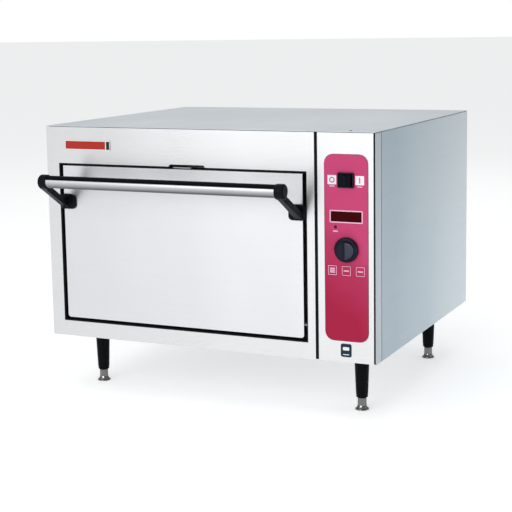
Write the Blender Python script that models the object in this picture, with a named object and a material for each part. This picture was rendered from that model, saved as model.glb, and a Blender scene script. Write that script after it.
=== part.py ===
"""Countertop deck oven with a drop-down door, on four adjustable legs. Metres, +Z up.

Every piece is drawn in the body's own frame: x from the body's left side, y back from its front plane,
z up from its underside. Empties carry the pieces to their places: one at the body's corner, and one on
the axis of each moving group.
"""

import math

import bmesh
import bpy
from mathutils import Vector

# Driving dimensions
BODY_W = 0.698
BODY_D = 0.598
BODY_H = 0.427
LEG_H = 0.114
SHEET = 0.0012
GAP = 0.0003

# Front: door opening, door, control panel
OPEN_X0, OPEN_X1 = 0.0276, 0.5639
OPEN_Z0, OPEN_Z1 = 0.0310, 0.3527
DOOR_SIDE_GAP = 0.0088
DOOR_TOP_GAP = 0.0050
DOOR_BOTTOM_GAP = 0.0077
DOOR_FACE = 0.0010
DOOR_RIM = 0.0205
DOOR_BACK = 0.0345
DOOR_CORNER_R = 0.0055
COLLAR_DEPTH = 0.0380
FRAME_X1 = 0.5790
PANEL_X0, PANEL_X1 = 0.5853, 0.6937
PANEL_DEPTH = 0.0180
SIDE_STRIP = 0.0300
TOP_REVEAL = 0.0008

# Door hinge axis, in the body's frame
HINGE_Y = 0.0120
HINGE_Z = 0.0620
PIN_R = 0.0030
BUSH_R = 0.0045

# Latch
NOTCH_X0, NOTCH_X1 = 0.2760, 0.3560
NOTCH_RISE = 0.0043
TONGUE_X0, TONGUE_X1 = 0.2860, 0.3245

# Handle
BAR_R = 0.0118
BAR_WALL = 0.0015
BAR_Y = -0.0790
BAR_Z = 0.3240
DRUM_R = 0.0145
DRUM_W = 0.0180
GRIP_T = 0.0005
PAD_W = 0.0356
PAD_Z0, PAD_Z1 = 0.2608, 0.2912
PAD_T = 0.0055
ARM_DEPTH = 0.0123
ARM_W = 0.0222
ARM_INSET = 0.0055
ARM_TAPER = 0.0050

# Chamber
CHAMBER = (Vector((0.0580, 0.0391, 0.0880)), Vector((0.5340, 0.5000, 0.3380)))
CHAMBER_WALL = 0.0010
FLANGE = (0.0180, 0.0280, 0.5715, 0.3700)
DECK_TOPS = (0.1127, 0.2347)
STONE_T = 0.0127
ROD_R = 0.0032
ELEMENT_HEIGHTS = {"lower_element": 0.0935, "upper_element": 0.3300}
ROD_X0, ROD_PITCH, ROD_RUNS = 0.0960, 0.1333, 4
ROD_Y0, ROD_Y1, ROD_END = 0.0800, 0.4500, 0.5650
PROBE = Vector((0.4200, 0.4300, 0.3000))
PROBE_R = 0.0020

# Controls, all on the centre line of the control panel
CONTROL_X = 0.6412
OVERLAY = (0.5992, 0.0409, 0.6832, 0.3858)
OVERLAY_R = 0.0165
OVERLAY_T = 0.0005
SWITCH_Z, SWITCH_W, SWITCH_H = 0.3392, 0.0316, 0.0280
SWITCH_THROW = math.radians(18)
DISPLAY_Z, DISPLAY_W, DISPLAY_H = 0.2722, 0.0600, 0.0190
LAMP_X, LAMP_Z, LAMP_R = 0.6203, 0.2527, 0.0027
KNOB_X, KNOB_Z, KNOB_R = 0.6420, 0.2115, 0.0232
KNOB_REACH = 0.0160
BOSS_R = 0.0168
RIDGE_W = 0.0030
KEY_Z, KEY_W, KEY_H, KEY_PITCH = 0.1722, 0.0178, 0.0184, 0.0272
KEY_TRAVEL = 0.0005
KEY_STEM = 0.0030
KEY_END = 0.0090
BOARD_Y = 0.0290
FAN_X, FAN_Z, FAN_SIZE, FAN_DEPTH = 0.6360, 0.3000, 0.0800, 0.0250
FAN_Y = BODY_D - SHEET - GAP - FAN_DEPTH
GLAND_X, GLAND_Z, GLAND_REACH = 0.6560, 0.0600, 0.0160

# Blank plates: low and high corners on the front plane
NAMEPLATE = (0.0450, 0.3812, 0.1471, 0.3980)
RATING_LABEL = (0.6290, 0.0105, 0.6500, 0.0355)

# Legs
LEG_SIDE = 0.0608
LEG_FRONT = 0.0895
LEG_BACK = 0.0860
SLEEVE_END = 0.0250
FOOT_R = 0.0135

HANDLE_REACH = DRUM_R - BAR_Y
FRONT_Y = HANDLE_REACH - (HANDLE_REACH + BODY_D + GLAND_REACH) / 2

DOOR_X0 = OPEN_X0 + DOOR_SIDE_GAP
DOOR_X1 = OPEN_X1 - DOOR_SIDE_GAP
DOOR_Z0 = OPEN_Z0 + DOOR_BOTTOM_GAP
DOOR_Z1 = OPEN_Z1 - DOOR_TOP_GAP
DOOR_MID = (DOOR_X0 + DOOR_X1) / 2
WALL_TOP = BODY_H - SHEET - TOP_REVEAL

MATERIALS = {
    "steel_front": ((0.80, 0.81, 0.82), 0.28, 1.0),
    "steel_side": ((0.62, 0.66, 0.70), 0.34, 1.0),
    "steel_plain": ((0.55, 0.56, 0.58), 0.40, 1.0),
    "chamber_steel": ((0.50, 0.50, 0.49), 0.45, 1.0),
    "polished_steel": ((0.85, 0.85, 0.86), 0.12, 1.0),
    "black_moulding": ((0.012, 0.015, 0.020), 0.38, 0.0),
    "black_rubber": ((0.010, 0.010, 0.012), 0.70, 0.0),
    "overlay_film": ((0.62, 0.035, 0.13), 0.35, 0.0),
    "display_glass": ((0.05, 0.004, 0.006), 0.08, 0.0),
    "deck_stone": ((0.55, 0.48, 0.38), 0.90, 0.0),
    "insulation_wool": ((0.72, 0.66, 0.45), 0.95, 0.0),
    "element_sheath": ((0.10, 0.09, 0.085), 0.55, 1.0),
    "circuit_board": ((0.02, 0.16, 0.06), 0.50, 0.0),
    "pale_plastic": ((0.70, 0.69, 0.65), 0.50, 0.0),
    "spring_steel": ((0.45, 0.45, 0.46), 0.30, 1.0),
    "label_red": ((0.55, 0.03, 0.03), 0.35, 0.0),
    "label_navy": ((0.01, 0.03, 0.08), 0.40, 0.0),
}


def clear_scene():
    for old in list(bpy.data.objects):
        bpy.data.objects.remove(old, do_unlink=True)


def make_material(name):
    colour, roughness, metallic = MATERIALS[name]
    mat = bpy.data.materials.new(name)
    mat.use_nodes = True
    shader = mat.node_tree.nodes["Principled BSDF"]
    shader.inputs["Base Color"].default_value = (*colour, 1.0)
    shader.inputs["Roughness"].default_value = roughness
    shader.inputs["Metallic"].default_value = metallic
    return mat


def make_empty(name, place, parent=None):
    empty = bpy.data.objects.new(name, None)
    empty.empty_display_size = 0.02
    empty["pivot"] = tuple(place)
    empty.location = Vector(place) if parent is None else Vector(place) - Vector(parent["pivot"])
    empty.parent = parent
    bpy.context.scene.collection.objects.link(empty)
    return empty


def finish(name, bm, material, carrier, smooth=None):
    """Make a named object from a mesh drawn in the body's frame, carried by an empty."""
    bmesh.ops.recalc_face_normals(bm, faces=bm.faces)
    bmesh.ops.translate(bm, verts=bm.verts, vec=-Vector(carrier["pivot"]))
    mesh = bpy.data.meshes.new(name)
    bm.to_mesh(mesh)
    bm.free()
    if smooth is not None:
        mesh.shade_smooth()
        mesh.set_sharp_from_angle(angle=math.radians(smooth))
    obj = bpy.data.objects.new(name, mesh)
    obj.parent = carrier
    bpy.context.scene.collection.objects.link(obj)
    mesh.materials.append(material)
    return obj


def combine(target, bm, carrier, operation):
    """Add a live Boolean that joins or cuts the target with a hidden helper mesh."""
    helper = finish(target.name + "_" + operation.lower(), bm, target.data.materials[0], carrier)
    helper.hide_render = True
    helper.display_type = "WIRE"
    boolean = target.modifiers.new(operation.title(), "BOOLEAN")
    boolean.operation = operation
    boolean.object = helper
    return target


# Shapes. An outline lies in the front plane (x, z), the side plane (y, z) or the floor plane (x, y).


def on_front(u, v, w):
    return Vector((u, w, v))


def on_side(u, v, w):
    return Vector((w, u, v))


def on_floor(u, v, w):
    return Vector((u, v, w))


def arc(cx, cy, radius, start, end, steps):
    """Points of an arc; angles in degrees."""
    angles = [math.radians(start + (end - start) * i / steps) for i in range(steps + 1)]
    return [(cx + radius * math.cos(a), cy + radius * math.sin(a)) for a in angles]


def rounded_rectangle(u0, v0, u1, v1, low_r, high_r=None, steps=6):
    """Outline with one radius on its two low corners and another on its two high corners."""
    high_r = low_r if high_r is None else high_r
    points = arc(u0 + low_r, v0 + low_r, low_r, 180, 270, steps)
    points += arc(u1 - low_r, v0 + low_r, low_r, 270, 360, steps)
    if high_r > 0:
        points += arc(u1 - high_r, v1 - high_r, high_r, 0, 90, steps)
        points += arc(u0 + high_r, v1 - high_r, high_r, 90, 180, steps)
    else:
        points += [(u1, v1), (u0, v1)]
    return points


def add_prism(bm, outline, start, end, place):
    """Extrude an outline between two levels; returns the face at the end level."""
    face = bm.faces.new([bm.verts.new(place(u, v, start)) for u, v in outline])
    made = bmesh.ops.extrude_face_region(bm, geom=[face])["geom"]
    moved = [g for g in made if isinstance(g, bmesh.types.BMVert)]
    bmesh.ops.translate(bm, verts=moved, vec=place(0, 0, end - start))
    return next(g for g in made if isinstance(g, bmesh.types.BMFace))


def prism(outline, start, end, place):
    bm = bmesh.new()
    add_prism(bm, outline, start, end, place)
    return bm


def add_box(bm, low, high):
    (x0, y0, z0), (x1, y1, z1) = low, high
    add_prism(bm, [(x0, y0), (x1, y0), (x1, y1), (x0, y1)], z0, z1, on_floor)


def box(low, high):
    bm = bmesh.new()
    add_box(bm, low, high)
    return bm


def push_face(bm, face, vector):
    """Extrude one face of a solid along a vector; returns the moved face."""
    made = bmesh.ops.extrude_face_region(bm, geom=[face])["geom"]
    bmesh.ops.delete(bm, geom=[face], context="FACES")
    moved = [g for g in made if isinstance(g, bmesh.types.BMVert)]
    bmesh.ops.translate(bm, verts=moved, vec=vector)
    return next(g for g in made if isinstance(g, bmesh.types.BMFace))


def inset(bm, face, width):
    """Inset one face, and return the ring of faces round it."""
    made = bmesh.ops.inset_individual(bm, faces=[face], thickness=width, use_even_offset=True)
    return made["faces"]


def pan(outline, start, end, place, rim_depth, margin=0.0):
    """A sheet with a rim turned up on its end side, a margin in from its edge."""
    bm = bmesh.new()
    face = add_prism(bm, outline, start, end, place)
    bmesh.ops.recalc_face_normals(bm, faces=bm.faces)
    if margin > 0:
        inset(bm, face, margin)
    ring = inset(bm, face, SHEET)
    made = bmesh.ops.extrude_face_region(bm, geom=ring)["geom"]
    bmesh.ops.delete(bm, geom=ring, context="FACES")
    moved = [g for g in made if isinstance(g, bmesh.types.BMVert)]
    bmesh.ops.translate(bm, verts=moved, vec=place(0, 0, rim_depth))
    return bm


def turned(profile, centre, axis, segments, closed=False):
    """Spin (radius, along) points about an axis through the centre; a closed profile leaves a bore."""
    bm = bmesh.new()
    side = Vector((0, 0, 1)) if abs(axis.z) < 0.5 else Vector((1, 0, 0))
    verts = [bm.verts.new(centre + side * radius + axis * along) for radius, along in profile]
    edges = [bm.edges.new(pair) for pair in zip(verts, verts[1:])]
    if closed:
        edges.append(bm.edges.new((verts[-1], verts[0])))
    bmesh.ops.spin(
        bm,
        geom=verts + edges,
        cent=centre,
        axis=axis,
        angle=math.tau,
        steps=segments,
        use_merge=True,
    )
    bmesh.ops.remove_doubles(bm, verts=bm.verts, dist=1e-6)
    return bm


def rod(centre, axis, radius, length, segments=16):
    return turned([(0, 0), (radius, 0), (radius, length), (0, length)], centre, axis, segments)


def join(*parts):
    """One mesh that holds several separate shells, for use as a cutter."""
    whole = bmesh.new()
    for part in parts:
        mesh = bpy.data.meshes.new("part")
        bmesh.ops.recalc_face_normals(part, faces=part.faces)
        part.to_mesh(mesh)
        part.free()
        whole.from_mesh(mesh)
        bpy.data.meshes.remove(mesh)
    return whole


def tube(name, points, radius, material, carrier):
    """A round rod along a route, as a bevelled curve with filled ends."""
    curve = bpy.data.curves.new(name, "CURVE")
    curve.dimensions = "3D"
    curve.bevel_depth = radius
    curve.bevel_resolution = 2
    curve.use_fill_caps = True
    spline = curve.splines.new("POLY")
    spline.points.add(len(points) - 1)
    for knot, point in zip(spline.points, points):
        knot.co = (*(point - Vector(carrier["pivot"])), 1.0)
    curve.materials.append(material)
    obj = bpy.data.objects.new(name, curve)
    obj.parent = carrier
    bpy.context.scene.collection.objects.link(obj)
    return obj


X = Vector((1, 0, 0))
Y = Vector((0, 1, 0))
Z = Vector((0, 0, 1))


def opening_outline(grow):
    """The door opening with its latch notch, grown outwards all round (inwards when negative)."""
    x0, x1 = OPEN_X0 - grow, OPEN_X1 + grow
    z0, z1 = OPEN_Z0 - grow, OPEN_Z1 + grow
    notch_top = z1 + NOTCH_RISE
    lean = grow * math.tan(math.radians(22.5))
    return [
        (x0, z0),
        (x1, z0),
        (x1, z1),
        (NOTCH_X1 + lean, z1),
        (NOTCH_X1 - NOTCH_RISE + lean, notch_top),
        (NOTCH_X0 + NOTCH_RISE - lean, notch_top),
        (NOTCH_X0 - lean, z1),
        (x0, z1),
    ]


def pin_cutter(radius, x0, x1):
    return rod(Vector((x0, HINGE_Y, HINGE_Z)), X, radius, x1 - x0, 20)


def front_frame(mats, body):
    """One folded sheet: the face with its edges turned back, and the deep collar of the opening."""
    face = [(0, 0), (FRAME_X1, 0), (FRAME_X1, WALL_TOP), (0, WALL_TOP)]
    sheet = pan(face, 0, SHEET, on_front, SIDE_STRIP - SHEET)
    obj = finish("front_frame", sheet, mats["steel_front"], body)
    collar = prism(opening_outline(SHEET), SHEET / 2, COLLAR_DEPTH, on_front)
    combine(obj, collar, body, "UNION")
    combine(obj, prism(opening_outline(0), -0.010, 0.050, on_front), body, "DIFFERENCE")
    holes = join(
        pin_cutter(BUSH_R + GAP, OPEN_X0 - 0.006, OPEN_X0 + 0.004),
        pin_cutter(BUSH_R + GAP, OPEN_X1 - 0.004, OPEN_X1 + 0.006),
    )
    combine(obj, holes, body, "DIFFERENCE")


def shell(mats, body):
    front_frame(mats, body)
    inner, lug_x, lug_y = BODY_W - SHEET, PANEL_X1 - 0.0100, PANEL_DEPTH + SHEET
    post = [
        (BODY_W, 0),
        (BODY_W, SIDE_STRIP),
        (inner, SIDE_STRIP),
        (inner, lug_y + SHEET),
        (lug_x, lug_y + SHEET),
        (lug_x, lug_y),
        (inner, lug_y),
        (inner, 0),
    ]
    finish("right_corner_post", prism(post, 0, WALL_TOP, on_floor), mats["steel_side"], body)
    panel_start = SIDE_STRIP + TOP_REVEAL
    panel_end = BODY_D - SHEET - GAP
    for name, x in (("left_side_panel", 0), ("right_side_panel", BODY_W - SHEET)):
        sheet = box((x, panel_start, 0), (x + SHEET, panel_end, WALL_TOP))
        finish(name, sheet, mats["steel_side"], body)
    lid = [(0, 0), (BODY_W, 0), (BODY_W, BODY_D), (0, BODY_D)]
    top = pan(lid, BODY_H, BODY_H - SHEET, on_floor, -0.012, margin=SIDE_STRIP + 0.004)
    finish("top_panel", top, mats["steel_front"], body)
    base_x0, base_x1 = 2 * SHEET, BODY_W - 2 * SHEET
    step_x, front_y, step_y = FRAME_X1 + GAP, SIDE_STRIP + GAP, PANEL_DEPTH + 2 * SHEET + GAP
    base = [
        (base_x0, front_y),
        (step_x, front_y),
        (step_x, step_y),
        (base_x1, step_y),
        (base_x1, panel_end),
        (base_x0, panel_end),
    ]
    finish("base_plate", prism(base, 0, SHEET, on_floor), mats["steel_plain"], body)
    back_panel(mats, body)
    flange_x, wall_end = step_x + 0.0130, BODY_D - 0.008
    divider = [
        (step_x, lug_y),
        (flange_x, lug_y),
        (flange_x, lug_y + SHEET),
        (step_x + SHEET, lug_y + SHEET),
        (step_x + SHEET, wall_end),
        (step_x, wall_end),
    ]
    wall = prism(divider, SHEET + GAP, BODY_H - 0.017, on_floor)
    finish("compartment_divider", wall, mats["steel_plain"], body)


def back_panel(mats, body):
    sheet = box((0, BODY_D - SHEET, 0), (BODY_W, BODY_D, WALL_TOP))
    obj = finish("back_panel", sheet, mats["steel_side"], body)
    slots = bmesh.new()
    slot_w, slot_h, pitch = 0.060, 0.0045, 0.0090
    for rows, low in ((9, FAN_Z - 4.25 * pitch), (5, 0.100)):
        for row in range(rows):
            z = low + row * pitch
            corner = (FAN_X - slot_w / 2, BODY_D - 3 * SHEET, z)
            add_box(slots, corner, (FAN_X + slot_w / 2, BODY_D + SHEET, z + slot_h))
    combine(obj, slots, body, "DIFFERENCE")
    hole = rod(Vector((GLAND_X, BODY_D - 3 * SHEET, GLAND_Z)), Y, 0.0104, 5 * SHEET, 20)
    combine(obj, hole, body, "DIFFERENCE")


def rear_holes(radius):
    """Cutters for what passes through the chamber's rear wall: element ends and the probe."""
    y, length = CHAMBER[1].y - 0.005, 0.070
    last = ROD_X0 + ROD_PITCH * (ROD_RUNS - 1)
    rods = [
        rod(Vector((x, y, z)), Y, radius, length, 12)
        for x in (ROD_X0, last)
        for z in ELEMENT_HEIGHTS.values()
    ]
    rods.append(rod(Vector((PROBE.x, y, PROBE.z)), Y, radius, length, 12))
    return join(*rods)


def chamber(mats, body):
    low, high = CHAMBER
    wall = Vector((CHAMBER_WALL, CHAMBER_WALL, CHAMBER_WALL))
    x0, z0, x1, z1 = FLANGE
    flange = box((x0, low.y, z0), (x1, low.y + CHAMBER_WALL, z1))
    liner = finish("oven_chamber", flange, mats["chamber_steel"], body)
    outside = box(Vector((low.x, low.y + CHAMBER_WALL * 1.5, low.z)) - wall, high + wall)
    combine(liner, outside, body, "UNION")
    combine(liner, box((low.x, low.y - 0.010, low.z), high), body, "DIFFERENCE")
    combine(liner, rear_holes(ROD_R + 0.0006), body, "DIFFERENCE")

    jacket_gap = CHAMBER_WALL + GAP
    jacket = finish(
        "insulation_jacket",
        box((0.0060, low.y + 0.0014, 0.0300), (0.5720, 0.5450, 0.4050)),
        mats["insulation_wool"],
        body,
    )
    hollow = box(
        (low.x - jacket_gap, low.y - 0.010, low.z - jacket_gap),
        (high.x + jacket_gap, high.y + jacket_gap, high.z + jacket_gap),
    )
    combine(jacket, hollow, body, "DIFFERENCE")
    combine(jacket, rear_holes(ROD_R + 0.0010), body, "DIFFERENCE")

    ledge, back = 0.0165, 0.0012
    for name, wall_x, way in (("deck_rack_left", low.x + GAP, 1), ("deck_rack_right", high.x - GAP, -1)):
        profile = [(0, low.z + 0.004), (back, low.z + 0.004)]
        for top in DECK_TOPS:
            shelf = top - STONE_T - GAP
            profile += [(back, shelf - SHEET), (ledge, shelf - SHEET), (ledge, shelf), (back, shelf)]
        profile += [(back, DECK_TOPS[1] + 0.006), (0, DECK_TOPS[1] + 0.006)]
        outline = [(wall_x + way * u, v) for u, v in profile]
        finish(name, prism(outline, 0.0480, 0.4800, on_front), mats["chamber_steel"], body)
    for name, top in zip(("lower_deck_stone", "upper_deck_stone"), DECK_TOPS):
        stone = box((low.x + 0.008, 0.0480, top - STONE_T), (high.x - 0.008, 0.4700, top))
        finish(name, stone, mats["deck_stone"], body)
    for name, height in ELEMENT_HEIGHTS.items():
        route = [Vector((x, y, height)) for x, y in element_route()]
        tube(name, route, ROD_R, mats["element_sheath"], body)
    probe = turned(
        [(0, 0), (PROBE_R * 0.7, 0.0006), (PROBE_R, 0.002), (PROBE_R, 0.130), (0, 0.130)],
        PROBE,
        Y,
        12,
    )
    finish("temperature_probe", probe, mats["polished_steel"], body, smooth=40)


def element_route():
    """Long runs joined by half circles, with both ends leaving through the rear wall."""
    bend = ROD_PITCH / 2
    route = [(ROD_X0, ROD_END)]
    for run in range(ROD_RUNS - 1):
        middle = ROD_X0 + ROD_PITCH * run + bend
        if run % 2 == 0:
            route += arc(middle, ROD_Y0 + bend, bend, 180, 360, 8)
        else:
            route += arc(middle, ROD_Y1 - bend, bend, 180, 0, 8)
    return route + [(ROD_X0 + ROD_PITCH * (ROD_RUNS - 1), ROD_END)]


def seals(mats, body):
    lining = prism(opening_outline(-GAP), 0.0022, COLLAR_DEPTH - 0.0012, on_front)
    obj = finish("opening_seal", lining, mats["black_rubber"], body)
    combine(obj, prism(opening_outline(-0.0025), -0.01, 0.05, on_front), body, "DIFFERENCE")
    combine(obj, pin_cutter(PIN_R + 0.0006, 0.0260, 2 * DOOR_MID - 0.0260), body, "DIFFERENCE")
    low, high = CHAMBER
    ring = rounded_rectangle(low.x - 0.015, low.z - 0.009, high.x + 0.015, high.z + 0.009, 0.012)
    gasket = prism(ring, DOOR_BACK + GAP, low.y - GAP, on_front)
    obj = finish("door_gasket", gasket, mats["black_rubber"], body)
    hole = rounded_rectangle(low.x - 0.005, low.z - 0.001, high.x + 0.005, high.z + 0.001, 0.004)
    combine(obj, prism(hole, 0.02, 0.05, on_front), body, "DIFFERENCE")
    top = DOOR_Z1 + 0.0018
    tongue = [
        (0.0010, top + 0.0014),
        (0.0022, top),
        (COLLAR_DEPTH, top),
        (COLLAR_DEPTH, top + 0.0050),
        (COLLAR_DEPTH - SHEET, top + 0.0050),
        (COLLAR_DEPTH - SHEET, top + 0.0024),
        (0.0018, top + 0.0024),
    ]
    catch = prism(tongue, TONGUE_X0, TONGUE_X1, on_side)
    finish("latch_catch", catch, mats["spring_steel"], body)


def hinges(mats, body, door):
    """Pins on the door, flanged bushes in the collar and torsion springs round the pins."""
    flange_r = BUSH_R + 0.0020
    for side, anchor, way in (("left", OPEN_X0, -X), ("right", OPEN_X1, X)):
        wall = Vector((anchor, HINGE_Y, HINGE_Z))
        pin = rod(wall - way * 0.0204, way, PIN_R, 0.0303, 20)
        finish("hinge_pin_" + side, pin, mats["polished_steel"], door, smooth=40)
        bore = PIN_R + GAP
        bush = [(bore, 0), (BUSH_R, 0), (BUSH_R, 0.0015), (flange_r, 0.0015)]
        bush += [(flange_r, 0.003), (bore, 0.003)]
        finish(
            "hinge_bush_" + side,
            turned(bush, wall, way, 20, closed=True),
            mats["spring_steel"],
            body,
            smooth=40,
        )
        route = spring_route(wall + way * 0.0043, way)
        tube("door_spring_" + side, route, 0.0007, mats["spring_steel"], body)


def spring_route(start, way):
    """Three turns round the pin, with a straight leg at each end."""
    radius, turns, steps, pitch, leg = 0.0052, 3, 12, 0.0016, 0.014
    route = [start + Vector((0, radius, -leg))]
    for i in range(turns * steps + 1):
        angle = math.tau * i / steps
        round_pin = Vector((0, math.cos(angle), math.sin(angle))) * radius
        route.append(start + round_pin + way * (pitch * i / steps))
    route.append(route[-1] + Z * leg)
    return route


def door_leaf(mats, door):
    face = rounded_rectangle(DOOR_X0, DOOR_Z0, DOOR_X1, DOOR_Z1, DOOR_CORNER_R, 0)
    rim = DOOR_RIM - DOOR_FACE - SHEET
    skin = pan(face, DOOR_FACE, DOOR_FACE + SHEET, on_front, rim)
    obj = finish("door_outer_skin", skin, mats["steel_front"], door)
    combine(obj, pin_cutter(PIN_R + GAP, DOOR_X0 - 0.01, DOOR_X1 + 0.01), door, "DIFFERENCE")
    side, low = SHEET + 0.0008, HINGE_Z - 0.004
    back = rounded_rectangle(DOOR_X0 + side, low, DOOR_X1 - side, DOOR_Z1 - side, 0.003, 0.003, steps=3)
    liner = pan(back, DOOR_BACK, DOOR_BACK - SHEET, on_front, -0.0165)
    finish("door_inner_liner", liner, mats["chamber_steel"], door)
    inside = side + 2 * SHEET
    wool = box(
        (DOOR_X0 + inside, DOOR_FACE + 2 * SHEET, HINGE_Z + 0.006),
        (DOOR_X1 - inside, DOOR_BACK - 2 * SHEET, DOOR_Z1 - inside),
    )
    finish("door_insulation", wool, mats["insulation_wool"], door)


def handle(mats, door):
    drum_x0 = DOOR_X0 - 0.0005
    bore_floor = 0.0064
    x0, x1 = drum_x0 + bore_floor, 2 * DOOR_MID - drum_x0 - bore_floor
    bore = BAR_R - BAR_WALL
    profile = [(bore, 0), (BAR_R, 0), (BAR_R, x1 - x0), (bore, x1 - x0)]
    bar = turned(profile, Vector((x0, BAR_Y, BAR_Z)), X, 32, closed=True)
    finish("handle_bar", bar, mats["polished_steel"], door, smooth=40)
    inner, outer = BAR_R + GAP, BAR_R + GAP + GRIP_T
    strip = arc(BAR_Y, BAR_Z, outer, 28, 155, 12) + arc(BAR_Y, BAR_Z, inner, 155, 28, 12)
    strip = [(2 * BAR_Y - y, z) for y, z in strip]
    mouth = drum_x0 + DRUM_W + GAP
    grip = prism(strip, mouth, 2 * DOOR_MID - mouth, on_side)
    finish("handle_grip", grip, mats["black_moulding"], door, smooth=30)
    for side, outer_x, way in (("left", drum_x0, 1), ("right", 2 * DOOR_MID - drum_x0, -1)):
        handle_bracket(mats, door, "handle_bracket_" + side, outer_x, way, bore_floor)


def handle_bracket(mats, door, name, outer_x, way, bore_floor):
    """Drum for the bar's end, an arm that widens towards the door, and the pad that bolts to it."""
    pad_x = outer_x - way * 0.0075
    pad_edges = sorted((pad_x, pad_x + way * PAD_W))
    pad = rounded_rectangle(pad_edges[0], PAD_Z0, pad_edges[1], PAD_Z1, 0.008, steps=5)
    obj = finish(
        name,
        prism(pad, DOOR_FACE - GAP, DOOR_FACE - PAD_T, on_front),
        mats["black_moulding"],
        door,
        smooth=35,
    )
    slope = math.atan2(BAR_Z - DRUM_R - PAD_Z0, -BAR_Y) * 0.97
    lower = (BAR_Y - DRUM_R * math.sin(slope), BAR_Z - DRUM_R * math.cos(slope))
    root = DOOR_FACE - 0.002
    side = [
        lower,
        (root, PAD_Z0 + 0.0010),
        (root, PAD_Z0 + 0.0010 + ARM_DEPTH),
        (lower[0] + 0.008, lower[1] + ARM_DEPTH - 0.002),
    ]
    arm_x = pad_x + way * ARM_INSET
    arm = prism(side, arm_x, pad_x + way * ARM_W, on_side)
    for vert in arm.verts:
        if vert.co.y < BAR_Y / 2 and abs(vert.co.x - arm_x) < 1e-6:
            vert.co.x += way * ARM_TAPER
    combine(obj, arm, door, "UNION")
    axis = X * way
    bead = 0.0025
    drum = [(0, 0), (DRUM_R - bead, 0), (DRUM_R, bead), (DRUM_R, DRUM_W - 0.001), (DRUM_R - 0.001, DRUM_W)]
    drum.append((0, DRUM_W))
    start = Vector((outer_x, BAR_Y, BAR_Z))
    combine(obj, turned(drum, start, axis, 28), door, "UNION")
    bore = rod(start + axis * (bore_floor - GAP), axis, BAR_R + GAP, DRUM_W, 32)
    combine(obj, bore, door, "DIFFERENCE")


def control_panel(mats, body):
    face = [(PANEL_X0, TOP_REVEAL), (PANEL_X1, TOP_REVEAL), (PANEL_X1, WALL_TOP), (PANEL_X0, WALL_TOP)]
    sheet = pan(face, 0, SHEET, on_front, PANEL_DEPTH - SHEET)
    panel = finish("control_panel", sheet, mats["steel_front"], body)
    combine(panel, panel_holes(0.0005), body, "DIFFERENCE")
    front = -GAP - OVERLAY_T
    film = prism(rounded_rectangle(*OVERLAY, OVERLAY_R, steps=8), -GAP, front, on_front)
    overlay = finish("control_overlay", film, mats["overlay_film"], body)
    combine(overlay, panel_holes(0.0), body, "DIFFERENCE")


def panel_holes(grow):
    """Cutters for the switch, display, lamp, dial shaft and keys."""
    parts = []
    for z, width, height in (
        (SWITCH_Z, SWITCH_W - 0.0026, SWITCH_H - 0.0026),
        (DISPLAY_Z, DISPLAY_W + 0.0006, DISPLAY_H + 0.0006),
    ):
        half_w, half_h = width / 2 + grow, height / 2 + grow
        parts.append(box((CONTROL_X - half_w, -0.005, z - half_h), (CONTROL_X + half_w, 0.005, z + half_h)))
    for x in key_centres():
        half_w, half_h = KEY_W / 2 + 0.0004 + grow, KEY_H / 2 + 0.0004 + grow
        parts.append(box((x - half_w, -0.005, KEY_Z - half_h), (x + half_w, 0.005, KEY_Z + half_h)))
    parts.append(rod(Vector((LAMP_X, -0.005, LAMP_Z)), Y, LAMP_R + GAP + grow, 0.010, 16))
    parts.append(rod(Vector((KNOB_X, -0.005, KNOB_Z)), Y, 0.0040 + grow, 0.010, 20))
    return join(*parts)


def key_centres():
    return [CONTROL_X + KEY_PITCH * (i - 1) for i in range(3)]


def switch(mats, body):
    """Bezel and body in one moulding with an open front; the rocker rests on its left side."""
    bezel_front, overlay_front = -0.0040, -GAP - OVERLAY_T
    outline = rounded_rectangle(
        CONTROL_X - SWITCH_W / 2,
        SWITCH_Z - SWITCH_H / 2,
        CONTROL_X + SWITCH_W / 2,
        SWITCH_Z + SWITCH_H / 2,
        0.002,
        steps=3,
    )
    bm = bmesh.new()
    back = add_prism(bm, outline, bezel_front, overlay_front - GAP, on_front)
    bmesh.ops.recalc_face_normals(bm, faces=bm.faces)
    inset(bm, back, 0.0018)
    push_face(bm, back, Y * 0.0250)
    housing = finish("switch_housing", bm, mats["black_moulding"], body)
    well_w, well_h = SWITCH_W / 2 - 0.0030, SWITCH_H / 2 - 0.0030
    well = box(
        (CONTROL_X - well_w, bezel_front - 0.002, SWITCH_Z - well_h),
        (CONTROL_X + well_w, bezel_front + 0.0160, SWITCH_Z + well_h),
    )
    combine(housing, well, body, "DIFFERENCE")

    pivot = Vector((CONTROL_X, 0.0010, SWITCH_Z))
    axis = make_empty("switch_axis", pivot, body)
    dish, half_l, half_h = 0.0020, 0.0118, SWITCH_H / 2 - 0.0036
    outline = [
        (-half_l, -0.0052 - dish),
        (0, -0.0052),
        (half_l, -0.0052 - dish),
        (half_l, -0.0020),
        (0.0070, 0.0050),
        (-0.0070, 0.0050),
        (-half_l, -0.0020),
    ]
    outline = [turn(u, v, -SWITCH_THROW / 2) for u, v in outline]
    outline = [(pivot.x + u, pivot.y + v) for u, v in outline]
    rocker = prism(outline, SWITCH_Z - half_h, SWITCH_Z + half_h, on_floor)
    finish("switch_rocker", rocker, mats["black_moulding"], axis)


def turn(u, v, angle):
    return (u * math.cos(angle) - v * math.sin(angle), u * math.sin(angle) + v * math.cos(angle))


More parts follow.
